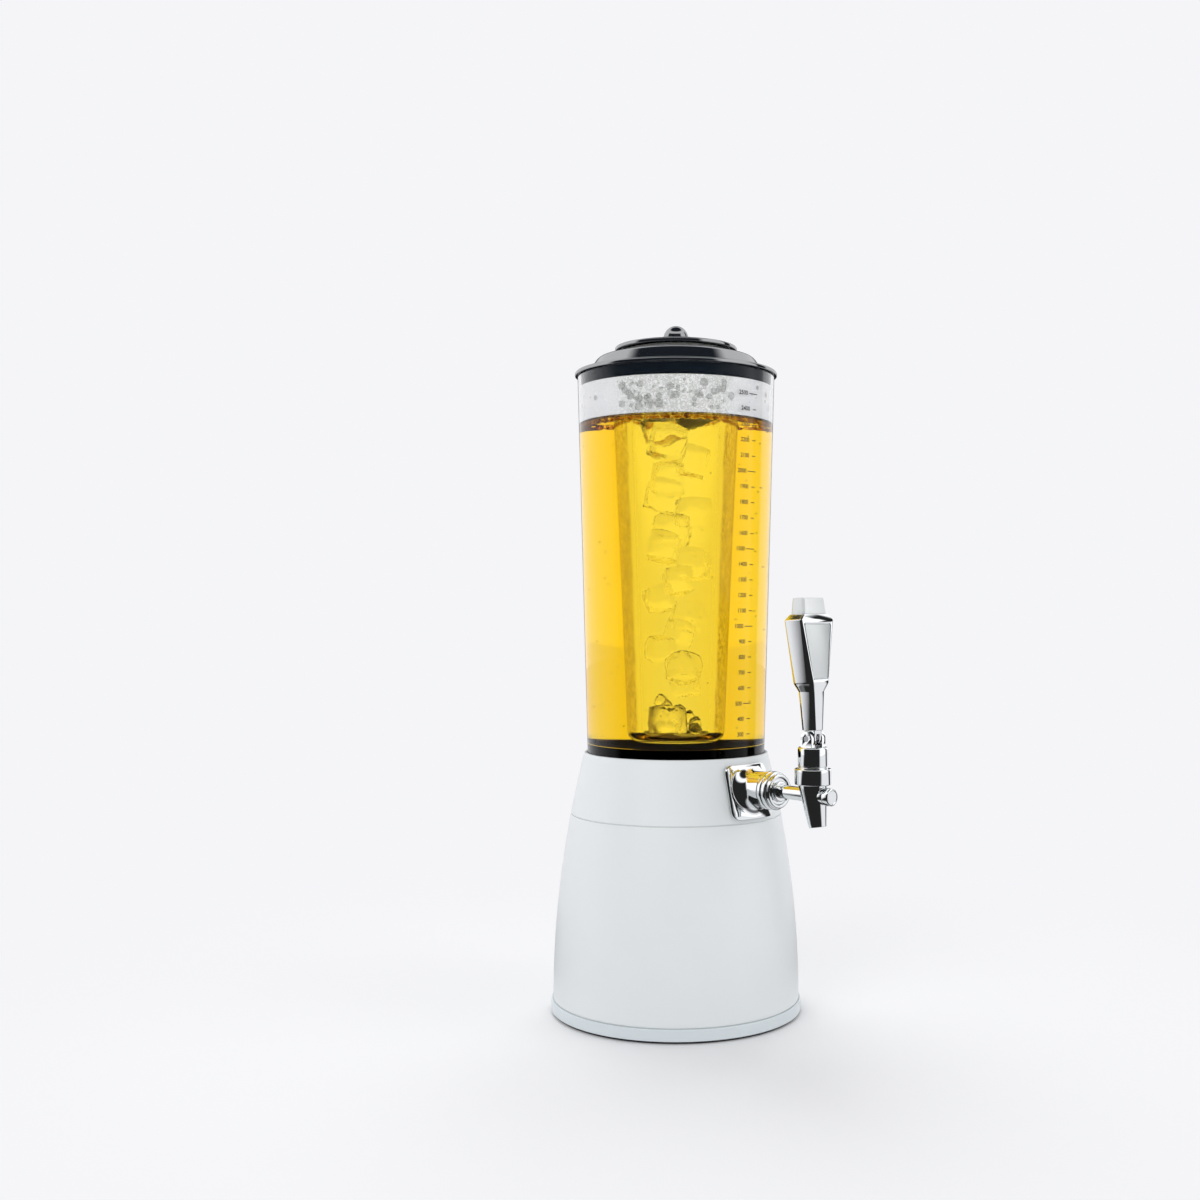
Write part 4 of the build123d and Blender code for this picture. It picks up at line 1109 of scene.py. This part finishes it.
class TOWER_OT_bubbles(bpy.types.Operator):
    """Scatter bubbles through the drink and drops over the walls above it"""

    bl_idname = "tower.make_bubbles"
    bl_label = "Bubbles"

    def execute(self, context):
        growth = bubble_growth()
        level = context.scene.tower_sizes.drink_level / MM
        froth = finish_named("froth_skin", bubble_finish, (0.99, 0.86, 0.62), (0.30, 0.16, 0.05), 1.12)
        values = wall_values(tube_radius, level - 0.8, level + 1.2, TUBE_WALL, Count=1300, Smallest=0.0003,
                             Largest=0.0010, Rarity=2.0, Stand=-1.1, Seed=3)
        grown_piece("froth_line", growth, values, froth)
        values.update(Low=(level - 1.9) * MM, High=(level - 0.9) * MM, Smallest=0.0004, Largest=0.0014,
                      Rarity=1.5, Stand=-7.0, Seed=8)
        grown_piece("froth_rim", growth, values, froth)
        fizz = finish_named("fizz_skin", bubble_finish, (1.0, 0.97, 0.88), (0.60, 0.42, 0.18), 1.0 / 1.34)
        values = wall_values(tube_radius, LIP_TOP + 6.0, level - 4.0, TUBE_WALL + 1.0, Count=260,
                             Smallest=0.0002, Largest=0.0007, Rarity=3.0, Stand=-30.0, Seed=5)
        grown_piece("fizz", growth, values, fizz)
        water = finish_named("water_drop", bubble_finish, (0.93, 0.94, 0.92), (0.42, 0.44, 0.38), 1.25)
        values = wall_values(column_radius, level + 3.0, 478.0, 0.0, Count=240, Smallest=0.0003,
                             Largest=0.0030, Rarity=6.0, Thickness=0.30, Seed=11)
        grown_piece("column_drops", growth, values, water, "ice_column")
        self.make_foam(growth, level)
        return {"FINISHED"}

    def make_foam(self, growth, level):
        """A film of foam on the tube above the drink, with single large bubbles at its densest side."""
        low, high = level + 1.6, LID_SKIRT_LOW - 0.4
        outer, inner = TUBE_WALL + 0.6, TUBE_WALL + 1.6
        film = [
            (tube_radius(low) - outer, low, 0.3), (tube_radius(high) - outer, high, 0.3),
            (tube_radius(high) - inner, high, 0.3), (tube_radius(low) - inner, low, 0.3),
        ]
        foam = finish_named("foam_film", foam_finish, FOAM_HEADING, (tube_radius(high) - outer) * MM)
        turned_piece("foam", film, foam, "clear_plastic", segments=192)
        spread = radians(34.0)
        large = finish_named("large_bubble", bubble_finish, (1.0, 1.0, 1.0), (0.74, 0.77, 0.66), 1.02)
        values = wall_values(tube_radius, low + 2.5, high - 3.0, TUBE_WALL, Count=130, Smallest=0.0005,
                             Largest=0.0036, Rarity=4.5, Thickness=0.25, Stand=-0.28, Seed=21)
        values.update(From=FOAM_HEADING - spread, To=FOAM_HEADING + spread)
        grown_piece("foam_bubbles", growth, values, large)
        pale = finish_named("pale_drop", bubble_finish, (0.97, 0.975, 0.97), (0.62, 0.64, 0.62), 1.10)
        values.update(From=FOAM_HEADING + spread, To=FOAM_HEADING + 2 * pi - spread, Count=60, Seed=32)
        grown_piece("wall_drops", growth, values, pale)


class TOWER_OT_ice(bpy.types.Operator):
    """Fill the column with ice"""

    bl_idname = "tower.make_ice"
    bl_label = "Ice"

    def execute(self, context):
        growth = ice_growth()
        room = wall_values(column_radius, COLUMN_FOOT, COLUMN_FLANGE, COLUMN_WALL)
        sunken = finish_named("ice_in_melt", ice_finish, (1.0, 1.0, 1.0), (0.93, 0.92, 0.88), 1.09)
        cubes = {**room, "Count": 17, "Low": 0.2465, "Rise": 0.0128, "Seed": 2}
        grown_piece("ice_cubes", growth, cubes, sunken, "ice_column")
        # Painted shade: this dark rim colour darkens the lumps' edges and veins.
        clear = finish_named("ice_clear", ice_finish, (1.0, 0.98, 0.92), (0.09, 0.06, 0.03), 1.31)
        lump = {
            **room, "Count": 1, "Low": 0.2195, "Turn": radians(178), "Reach": 0.33, "Size": 0.92, "Seed": 4,
        }
        grown_piece("ice_lump", growth, lump, clear, "ice_column")
        chips = {
            **room, "Count": 6, "Low": 0.2125, "Rise": 0.0042, "Turn": radians(285), "Twist": 0.62,
            "Reach": 0.60, "Size": 0.36, "Wear": 0.7, "Tilt": 0.9, "Seed": 9,
        }
        grown_piece("ice_chips", growth, chips, clear, "ice_column")
        return {"FINISHED"}


def digit_mesh(text, height):
    """Flat outlines of a number as a mesh, its right edge and middle at the origin."""
    curve = bpy.data.curves.new("digits", "FONT")
    curve.body = text
    curve.size = height / 0.7  # A digit is 0.7 of the font's size.
    curve.offset = 0.03 * height
    curve.align_x = "RIGHT"
    curve.align_y = "CENTER"
    curve.resolution_u = 3
    writer = placed("digits", curve)
    mesh = evaluated_mesh(writer)
    bpy.data.objects.remove(writer)
    bpy.data.curves.remove(curve)
    return mesh


class TOWER_OT_scale(bpy.types.Operator):
    """Print the measuring marks and numbers on the tube"""

    bl_idname = "tower.make_scale"
    bl_label = "Measuring scale"

    def execute(self, context):
        sizes = context.scene.tower_sizes
        ink = finish_named("scale_ink", ink_finish, context.scene.tower_colours.ink)
        proud = 0.06
        long_shift, short_shift = -0.5, 2.0
        made = bmesh.new()
        for amount in range(sizes.scale_first, sizes.scale_last + 1, 100):
            middle = (sizes.scale_start + sizes.scale_step * (amount - sizes.scale_first) / 100) / MM
            shift = long_shift if amount % 500 == 0 else short_shift
            digits = digit_mesh(str(amount), sizes.digit_height / MM)
            for vert in digits.vertices:
                height = middle + vert.co.y
                radius = tube_radius(height) + proud
                angle = (vert.co.x + shift) / radius - pi / 2
                vert.co = Vector((radius * cos(angle), radius * sin(angle), height))
            made.from_mesh(digits)
            bpy.data.meshes.remove(digits)
        made.transform(Matrix.Scale(MM, 4))
        add_piece("scale_print", plain_mesh("scale_print", made), ink, "black_gloss")
        first_row, last_row = sizes.scale_first // 100, sizes.scale_last // 100
        values = wall_values(tube_radius, LIP_TOP, TUBE_TOP, -proud, Start=sizes.scale_start,
                             Step=sizes.scale_step, Rows=last_row - first_row + 1)
        values["First row"] = first_row
        grown_piece("scale_ticks", tick_growth(), values, ink)
        return {"FINISHED"}


# ---- Tap ---------------------------------------------------------------------------------------
def seat_rim(angle, margin=0.0):
    """Distance from the tap's axis to the edge of the seat, in a direction, found by halving."""
    half_width, half_height, corner, drop = 21.5 - margin, 19.5 - margin, 6.0 - margin, 2.5
    step = Vector((cos(angle), sin(angle)))
    low, high = 0.0, 40.0
    for _ in range(30):
        middle = (low + high) / 2
        x, y = abs(step.x * middle), abs(step.y * middle + drop)
        past = Vector((max(x - half_width + corner, 0), max(y - half_height + corner, 0))).length - corner
        inside = past < 0 and x < half_width and y < half_height
        low, high = (middle, high) if inside else (low, middle)
    return low


def on_bell(x, up, offset):
    """Distance along the tap's axis at which the bell's offset surface lies."""
    return sqrt(max(bell_radius(TAP_HEIGHT + up, offset) ** 2 - x**2, 0.0))


def seat_rings(count):
    """Closed rows of points of the flared seat: its back, its rim, its flare, its barrel and its bore."""
    directions = between(0.0, 2 * pi, count)[:-1]
    inner, outer, bore, barrel = 0.85, 3.25, 6.1, 13.0
    flare_radius, flare_height, bevel = 19.6, 8.2, 0.6
    edge_steps, flare_steps = 6, 14

    def row(reach, lift):
        """One closed row, from its distance in each direction and its place along the tap's axis."""
        points = []
        for angle in directions:
            distance = reach(angle)
            x, up = distance * cos(angle), distance * sin(angle)
            points.append(Vector((x, up, lift(x, up))))
        return points

    rows = [row(lambda angle: bore, lambda x, up: on_bell(x, up, inner))]
    rows.append(row(lambda angle: seat_rim(angle, 0.5), lambda x, up: on_bell(x, up, inner)))
    for slope in between(-pi / 2, pi / 2, edge_steps):
        margin = 0.7 - 0.7 * cos(slope)
        offset = inner + (outer - inner) / 2 * (1 + sin(slope))
        rows.append(row(lambda angle: seat_rim(angle, margin), lambda x, up: on_bell(x, up, offset)))
    for turn in range(flare_steps + 1):
        slope = pi / 2 * (1 - turn / flare_steps)

        def reach(angle):
            """Distance from the tap's axis to the flare."""
            foot = min(flare_radius, seat_rim(angle, 0.9))
            return foot - (foot - barrel) * cos(slope)

        rows.append(row(reach, lambda x, up: on_bell(x, up, outer) + flare_height * (1 - sin(slope))))
    for radius, end in (
        (barrel, SEAT_BARREL_END - bevel - 0.05), (barrel - bevel, SEAT_BARREL_END), (bore, SEAT_BARREL_END),
    ):
        rows.append(row(lambda angle: radius, lambda x, up: end))
    return rows


class TOWER_OT_tap(bpy.types.Operator):
    """Make the tap's seat, shank, body, nuts and bonnet"""

    bl_idname = "tower.make_tap"
    bl_label = "Tap"

    def execute(self, context):
        chrome = plating()
        shaped_piece("seat_saddle", skin(seat_rings(144), closed=True), chrome, "chrome", place=TAP_AXIS,
                     replaced=["tap_seat"], sharp=40.0)
        # Corners along the tap's axis, as distances from it and from the tower's axis.
        coupling = [
            (6.1, 94.05), (13.8, 94.05, 0.7), (13.8, 97.4, 0.5), (13.1, 97.9, 0.2), (13.1, 98.5, 0.2),
            (13.8, 99.0, 0.5), (13.8, 102.2, 0.8), (12.4, 102.2, 0.3), (12.4, 105.0, 0.9), (10.0, 105.0, 0.4),
            (9.4, 103.5, 0.3), (7.4, 103.5, 0.3), (7.4, 106.0, 0.7), (4.85, 106.0), (4.85, 100.1),
            (6.1, 100.1),
        ]
        shank = [
            (3.0, 39.1), (6.0, 39.1, 0.6), (6.0, 100.0), (4.75, 100.0), (4.75, SHANK_END), (3.0, SHANK_END),
        ]
        plug = [
            (0, 141.0), (4.6, 141.0), (4.6, 147.0), (6.2, 147.0, 0.6), (6.2, 152.5, 1.1), (4.9, 152.5, 0.2),
            (4.5, 152.2, 0.2), (0, 152.2),
        ]
        for name, corners, replaced, segments, steps in (
            ("coupling_ring", coupling, "coupling_nut", 128, 4), ("shank_pipe", shank, "tap_shank", 64, 6),
            ("plug_cap", plug, "front_plug", 64, 5),
        ):
            turned_piece(name, corners, chrome, "chrome", place=TAP_AXIS, replaced=[replaced],
                         segments=segments, steps=steps)
        self.make_spout(chrome)
        nut_low, nut_top = 181.5, 192.7
        nut = [
            (11.5, nut_low), (12.9, nut_low, 0.9), (12.9, nut_top, 0.9), (10.7, nut_top, 0.4), (10.7, 191.0),
            (11.5, 191.0),
        ]
        turned_piece("spout_nut", nut, chrome, "chrome", place=SPOUT, replaced=["collar_nut"], segments=96)
        self.make_bonnet(chrome)
        return {"FINISHED"}

    def make_spout(self, chrome):
        """The leaning spout with its bores."""
        lean = radians(9.0)
        top, tip, bore_floor, shoulder_low = 180.0, 152.2, 166.0, 182.5
        waist, bore = 10.2, 4.4
        segments, steps = 72, 14
        foot = Vector((0, -(top - tip) * tan(lean), tip))
        tilt = Matrix.Translation(foot) @ Matrix.Rotation(-lean, 4, "X")

        def tip_ring(radius, rise=0.0):
            """A ring square to the leaning spout, at its tip or a little above it."""
            return [tilt @ point for point in ring_of(radius, rise, segments)]

        low = tip_ring(6.3, 0.5)
        high = ring_of(waist, top, segments)
        rows = [ring_of(3.2, bore_floor, segments), tip_ring(3.6), tip_ring(4.1), tip_ring(5.9)]
        rows += [tip_ring(6.2, 0.15), low]
        rows += [[a.lerp(b, share) for a, b in zip(low, high)] for share in between(0.0, 1.0, steps)[1:]]
        rows += [
            ring_of(radius, height, segments) for radius, height in (
                (waist, shoulder_low), (SPOUT_SHOULDER, shoulder_low), (SPOUT_SHOULDER, SPOUT_TOP),
                (bore, SPOUT_TOP), (bore, bore_floor))
        ]
        level = Matrix.Translation((0, TAP_REACH, 0)) @ TAP_AXIS
        tools = [("UNION", rod(5.8, 139.4, 146.95, 64, level, 0.3))]
        tools += [
            ("DIFFERENCE", rod(radius, near, far, 48, level)) for radius, near, far in
            ((4.8, 112.0, SHANK_END), (3.0, 128.0, 133.0), (4.65, 138.9, 150.0))
        ]
        shaped_piece("spout_body", carved(skin(rows, closed=True), tools), chrome, "chrome", place=SPOUT,
                     replaced=["tap_body"])

    def make_bonnet(self, chrome):
        """The sleeve with the two ears of the lever's knuckle."""
        seat_top, radius, groove = SPOUT_TOP + 0.05, 10.55, 10.3
        ear_hole, stem_hole = 2.05, 2.06
        corners = [
            (0, 186.15), (4.35, 186.15), (4.35, seat_top), (SPOUT_SHOULDER, seat_top),
            (SPOUT_SHOULDER, 190.95), (radius, 190.95),
            (radius, 193.4, 0.2), (groove, 193.7, 0.1), (groove, 194.3, 0.1), (radius, 194.6, 0.2),
            (radius, BONNET_TOP, 1.4), (0, BONNET_TOP),
        ]
        pivot = Matrix.Translation((0, 0, PIVOT_HEIGHT))
        arch = [(-5.0, -6.8), (5.0, -6.8), *arc(5.0, 0.0, pi, 24)]
        tools = [("UNION", prism(arch, near, far, pivot)) for near, far in ((-7.5, -3.9), (3.9, 7.5))]
        tools += [
            ("DIFFERENCE", rod(ear_hole, -9.0, 9.0, 48, pivot @ SIDEWAYS)),
            ("DIFFERENCE", rod(stem_hole, 185.0, 209.0)),
            ("DIFFERENCE", slab((-1.5, -2.3, -8.8), (1.5, 6.7, 0), pivot)),
        ]
        sleeve = carved(lathe(profile(corners, 5), 96), tools)
        soften(shaped_piece("bonnet_sleeve", sleeve, chrome, "chrome", place=SPOUT,
                            replaced=["tap_bonnet"]), 0.25)


# ---- Lever -------------------------------------------------------------------------------------
# Sections as height over the pivot, width, depth and rounding; narrow bands round the level edges.
PADDLE_SECTIONS = (
    (5.7, 9.9, 11.9, 1.8), (6.0, 10.5, 12.5, 2.0), (32.3, 13.5, 14.5, 2.0), (32.9, 13.7, 14.6, 2.0),
    (38.0, 19.5, 18.2, 2.5), (38.7, 20.2, 18.5, 2.6), (39.4, 20.4, 18.5, 2.6), (81.9, 34.9, 16.1, 1.0),
    (82.5, 35.0, 16.0, 1.0), (83.1, 34.1, 15.7, 1.0), (86.2, 27.5, 13.7, 1.0), (86.5, 26.6, 13.2, 1.0),
)
CAP_SECTIONS = (
    (86.5, 24.4, 11.9, 2.0), (86.9, 25.0, 12.5, 2.2), (96.9, 23.2, 11.2, 2.2), (97.7, 22.7, 10.7, 2.0),
    (98.0, 21.6, 9.6, 1.6),
)


def panel_rings(margin, inwards, outwards):
    """The tapering outline of the lever's inlay, twice: behind the paddle's front and before it."""
    rise, frame_width, corner = 44.0, 2.6, 1.6
    half = rise / 2 - frame_width - margin
    middle = 13.75 - frame_width - margin
    spread = 15.0 / (2 * rise) * half
    outline = [
        (-(middle - spread), -half, corner - margin), (middle - spread, -half, corner - margin),
        (middle + spread, half, corner - margin), (-(middle + spread), half, corner - margin),
    ]
    normal = Vector((0, -rise, 1.25)).normalized()
    up = normal.cross(Vector((1, 0, 0)))
    centre = Vector((0, -8.625, 60.5))
    return [
        [centre + Vector((x, 0, 0)) + up * y + normal * depth for x, y in profile(outline, 5)]
        for depth in (-inwards, outwards)
    ]


class TOWER_OT_lever(bpy.types.Operator):
    """Make the lever with its inlay and cap"""

    bl_idname = "tower.make_lever"
    bl_label = "Lever"

    def execute(self, context):
        upright = Matrix.Rotation(radians(LEVER_LEAN), 4, "X")
        link = upright @ Matrix.Translation((0, LINK_REACH, 0)) @ SIDEWAYS
        knuckle, pin, shoulder, half_width = 4.6, 2.0, 6.7, 3.6
        pivot_hole, link_hole = 2.06, 0.85
        under = asin(pin / knuckle)
        hook = [
            (-knuckle, shoulder), *arc(knuckle, pi, 2 * pi - under, 12),
            *arc(pin, radians(-90), radians(78.5), 12, LINK_REACH), (knuckle, 1.97), (knuckle, shoulder),
        ]
        tools = [
            ("DIFFERENCE", skin(panel_rings(0.0, 1.0, 3.0), caps=True)),
            ("UNION", prism(hook, -half_width, half_width, upright)),
            ("DIFFERENCE", slab((-1.6, -9.0, -9.0), (1.6, 9.0, 3.4), upright)),
            ("DIFFERENCE", rod(pivot_hole, -5.0, 5.0, 48, upright @ SIDEWAYS)),
            ("DIFFERENCE", rod(link_hole, -5.0, 5.0, 32, link)),
        ]
        paddle = skin([rounded_ring(*section, stretch=1.9) for section in PADDLE_SECTIONS], caps=True)
        soften(shaped_piece("lever_arm", carved(paddle, tools), plating(), "chrome", "lever", LEVER,
                            ["tap_lever"]), 0.22)
        refinish(screw_steel(), "link_pin")
        grain = (1, 1, 0.04)
        colour = context.scene.tower_colours.panel
        panel = finish_named("panel_satin", brushed_finish, colour, 0.33, 0.55, grain)
        inlay = skin(panel_rings(0.3, 1.0, -0.3), caps=True)
        soften(shaped_piece("lever_inlay", inlay, panel, "panel_silver", "lever", LEVER,
                            ["handle_panel"]), 0.15)
        cap = skin([rounded_ring(*section) for section in CAP_SECTIONS], caps=True)
        pale = finish_named("cap_satin", brushed_finish, (0.84, 0.86, 0.86), 0.38, 0.35, grain)
        shaped_piece("lever_cap", cap, pale, "chrome", "lever", LEVER, ["handle_cap"])
        return {"FINISHED"}


# ---- Stage -------------------------------------------------------------------------------------
# Headings in degrees from the camera's side, with 1 at the edge of a white card and 0 of a black one.
CARD_EDGES = (
    (-180, 0), (-171, 0), (-160, 1), (-84, 1), (-73, 0), (43, 0), (53, 1), (101, 1), (105, 0), (119, 0),
    (124, 1), (160, 1), (171, 0), (180, 0),
)
PAPER = (0.913, 0.913, 0.938)
BLACK_CARD = 0.02
MOST_BOUNCES = 32


def card_pattern(graph, x, y, turn):
    """1 towards the white cards that stand round the tower and 0 towards the black ones, by heading."""
    side = x * cos(turn) + y * sin(turn)
    front = x * sin(turn) - y * cos(turn)
    stops = [((heading + 180) / 360, (value, value, value)) for heading, value in CARD_EDGES]
    heading = side.math("ARCTAN2", front) / (2 * pi) + 0.5
    return graph.node("ShaderNodeValToRGB", {"stops": stops}, {0: heading})


def kinds_of_ray(graph):
    """Whether a ray comes from the camera, through something clear, or from a mirror."""
    path = graph.node("ShaderNodeLightPath")
    through = path.output("Is Transmission Ray")
    return path.output("Is Camera Ray"), through, path.output("Is Glossy Ray") * (1.0 - through)


class TOWER_OT_stage(bpy.types.Operator):
    """Set the floor, the light and the camera"""

    bl_idname = "tower.make_stage"
    bl_label = "Stage"

    def execute(self, context):
        scene = context.scene
        scene.view_settings.view_transform = "Standard"
        scene.cycles.max_bounces = MOST_BOUNCES
        scene.cycles.transmission_bounces = MOST_BOUNCES
        scene.cycles.transparent_max_bounces = 16
        self.make_world(scene)
        self.make_floor(scene)
        self.make_lights()
        self.make_camera(scene)
        return {"FINISHED"}

    def make_world(self, scene):
        """Plain pale light; the camera and clear pieces see white paper, and mirrors see cards."""
        world = bpy.data.worlds.new("studio")
        world.use_nodes = True
        scene.world = world
        graph = Graph(world.node_tree)
        shown = world.node_tree.nodes["Background"]
        way = graph.parts(graph.node("ShaderNodeTexCoord", output="Generated"))
        up = way.output("Z")
        cards = card_pattern(graph, way, way.output("Y"), scene.tower_stage.turn)
        cards = cards.above(up.rising(0.55, 0.70)) * (1.0 - up.rising(0.80, 0.90))
        straight, through, mirrored = kinds_of_ray(graph)
        plain = scene.tower_stage.plain_light
        strength = plain + (1.0 - plain) * straight + (1.05 - plain) * through
        strength = strength + mirrored * (BLACK_CARD + 1.25 * cards - plain)
        graph.join(strength, shown.inputs["Strength"])
        graph.join(graph.blend(straight, (0.985, 0.99, 1.0), PAPER), shown.inputs["Color"])

    def make_floor(self, scene):
        """A wide pale disc that keeps the tower's shadow and fades into the background; to mirrors it is
        painted black near the tower and towards the black cards, a painted dark reflection.
        """
        radius, sunk = 6.0, 0.0004
        made = bmesh.new()
        bmesh.ops.create_circle(made, cap_ends=True, segments=128, radius=radius)
        bmesh.ops.translate(made, verts=made.verts, vec=(0, 0, -sunk))
        mesh = plain_mesh("floor", made)
        finish = Finish("pale_floor", (0.86, 0.86, 0.87), 0.6)
        mottle = finish.noise(3.0, 3.0)
        finish.set("Base Color", finish.blend(mottle, (0.85, 0.85, 0.86), (0.87, 0.87, 0.88)))
        x = finish.parts(finish.place)
        y = x.output("Y")
        distance = (x * x + y * y) ** 0.5
        straight, through, mirrored = kinds_of_ray(finish)
        cards = card_pattern(finish, x, y, scene.tower_stage.turn)
        paper = finish.node("ShaderNodeEmission", None, {"Color": rgba(PAPER)})
        black = finish.node("ShaderNodeEmission", None, {"Color": rgba((BLACK_CARD,) * 3)})
        # Painted dark reflection: mirrors see the floor black near the tower and towards the black cards.
        black_for_mirrors = (1.0 - cards).above(distance.rising(0.70, 0.30) * 0.85)
        glow = finish.node("ShaderNodeMixShader", None, {0: mirrored * black_for_mirrors, 1: paper, 2: black})
        factor = (straight + through) * (0.08 + 0.92 * distance.rising(0.13, 0.62))
        factor = factor + mirrored * distance.rising(0.10, 0.22)
        lit = Value(finish, finish.shader.outputs[0])
        mixed = finish.node("ShaderNodeMixShader", None, {0: factor, 1: lit, 2: glow})
        finish.join(mixed, finish.surface.inputs["Surface"])
        mesh.materials.append(finish.material)
        floor = placed("floor", mesh)

    def make_lights(self):
        """Soft boxes: a key at the left, a fill at the right and one overhead behind the tower."""
        target = Vector((0, 0, 0.2))
        for name, place, size, power in (
            ("key", (-1.7, -0.5, 0.9), 1.2, 10.0),
            ("fill", (0.9, -1.6, 0.8), 1.2, 7.0),
            ("top", (0.35, 0.55, 1.7), 1.1, 14.0),
        ):
            lamp = bpy.data.lights.new(name, "AREA")
            lamp.shape = "DISK"
            lamp.size = size
            lamp.energy = power
            holder = placed(name, lamp)
            holder.location = place
            holder.rotation_euler = (target - Vector(place)).to_track_quat("-Z", "Y").to_euler()
            holder.visible_glossy = False
            holder.visible_transmission = False

    def make_camera(self, scene):
        """The camera stands level, and its shift frames the tower."""
        stage = scene.tower_stage
        lens = bpy.data.cameras.new("camera")
        lens.lens = stage.lens
        lens.sensor_width = 36.0
        lens.shift_x = stage.shift_x
        lens.shift_y = stage.shift_y
        lens.clip_start = 0.05
        holder = placed("camera", lens)
        away = Vector((sin(stage.turn), -cos(stage.turn), 0.0))
        holder.location = away * stage.distance + Vector((0, 0, stage.height))
        holder.rotation_euler = (-away).to_track_quat("-Z", "Y").to_euler()
        scene.camera = holder


class TOWER_PT_panel(bpy.types.Panel):
    """Lists the pieces of the tower"""

    bl_idname = "TOWER_PT_panel"
    bl_label = "Beer tower"
    bl_space_type = "VIEW_3D"
    bl_region_type = "UI"
    bl_category = "Beer tower"

    def draw(self, context):
        for operator in operators:
            self.layout.operator(operator.bl_idname)
        for name in groups:
            group = getattr(context.scene, name)
            box = self.layout.box()
            for key in group.__annotations__:
                box.prop(group, key)


groups = {"tower_sizes": TowerSizes, "tower_colours": TowerColours, "tower_stage": TowerStage}
operators = (
    TOWER_OT_stage, TOWER_OT_base, TOWER_OT_tube, TOWER_OT_lids, TOWER_OT_column, TOWER_OT_ice,
    TOWER_OT_drink, TOWER_OT_bubbles, TOWER_OT_scale, TOWER_OT_tap, TOWER_OT_lever,
)


def register():
    """Registers the settings, the operators and the panel."""
    for kind in (*groups.values(), *operators, TOWER_PT_panel):
        bpy.utils.register_class(kind)
    for name, group in groups.items():
        setattr(bpy.types.Scene, name, bpy.props.PointerProperty(type=group))


def unregister():
    """Takes out what register put in."""
    for name in groups:
        delattr(bpy.types.Scene, name)
    for kind in (TOWER_PT_panel, *reversed(operators), *groups.values()):
        bpy.utils.unregister_class(kind)


def main():
    """Makes every piece in order."""
    register()
    for operator in operators:
        family, name = operator.bl_idname.split(".")
        getattr(getattr(bpy.ops, family), name)()


if __name__ == "__main__":
    main()
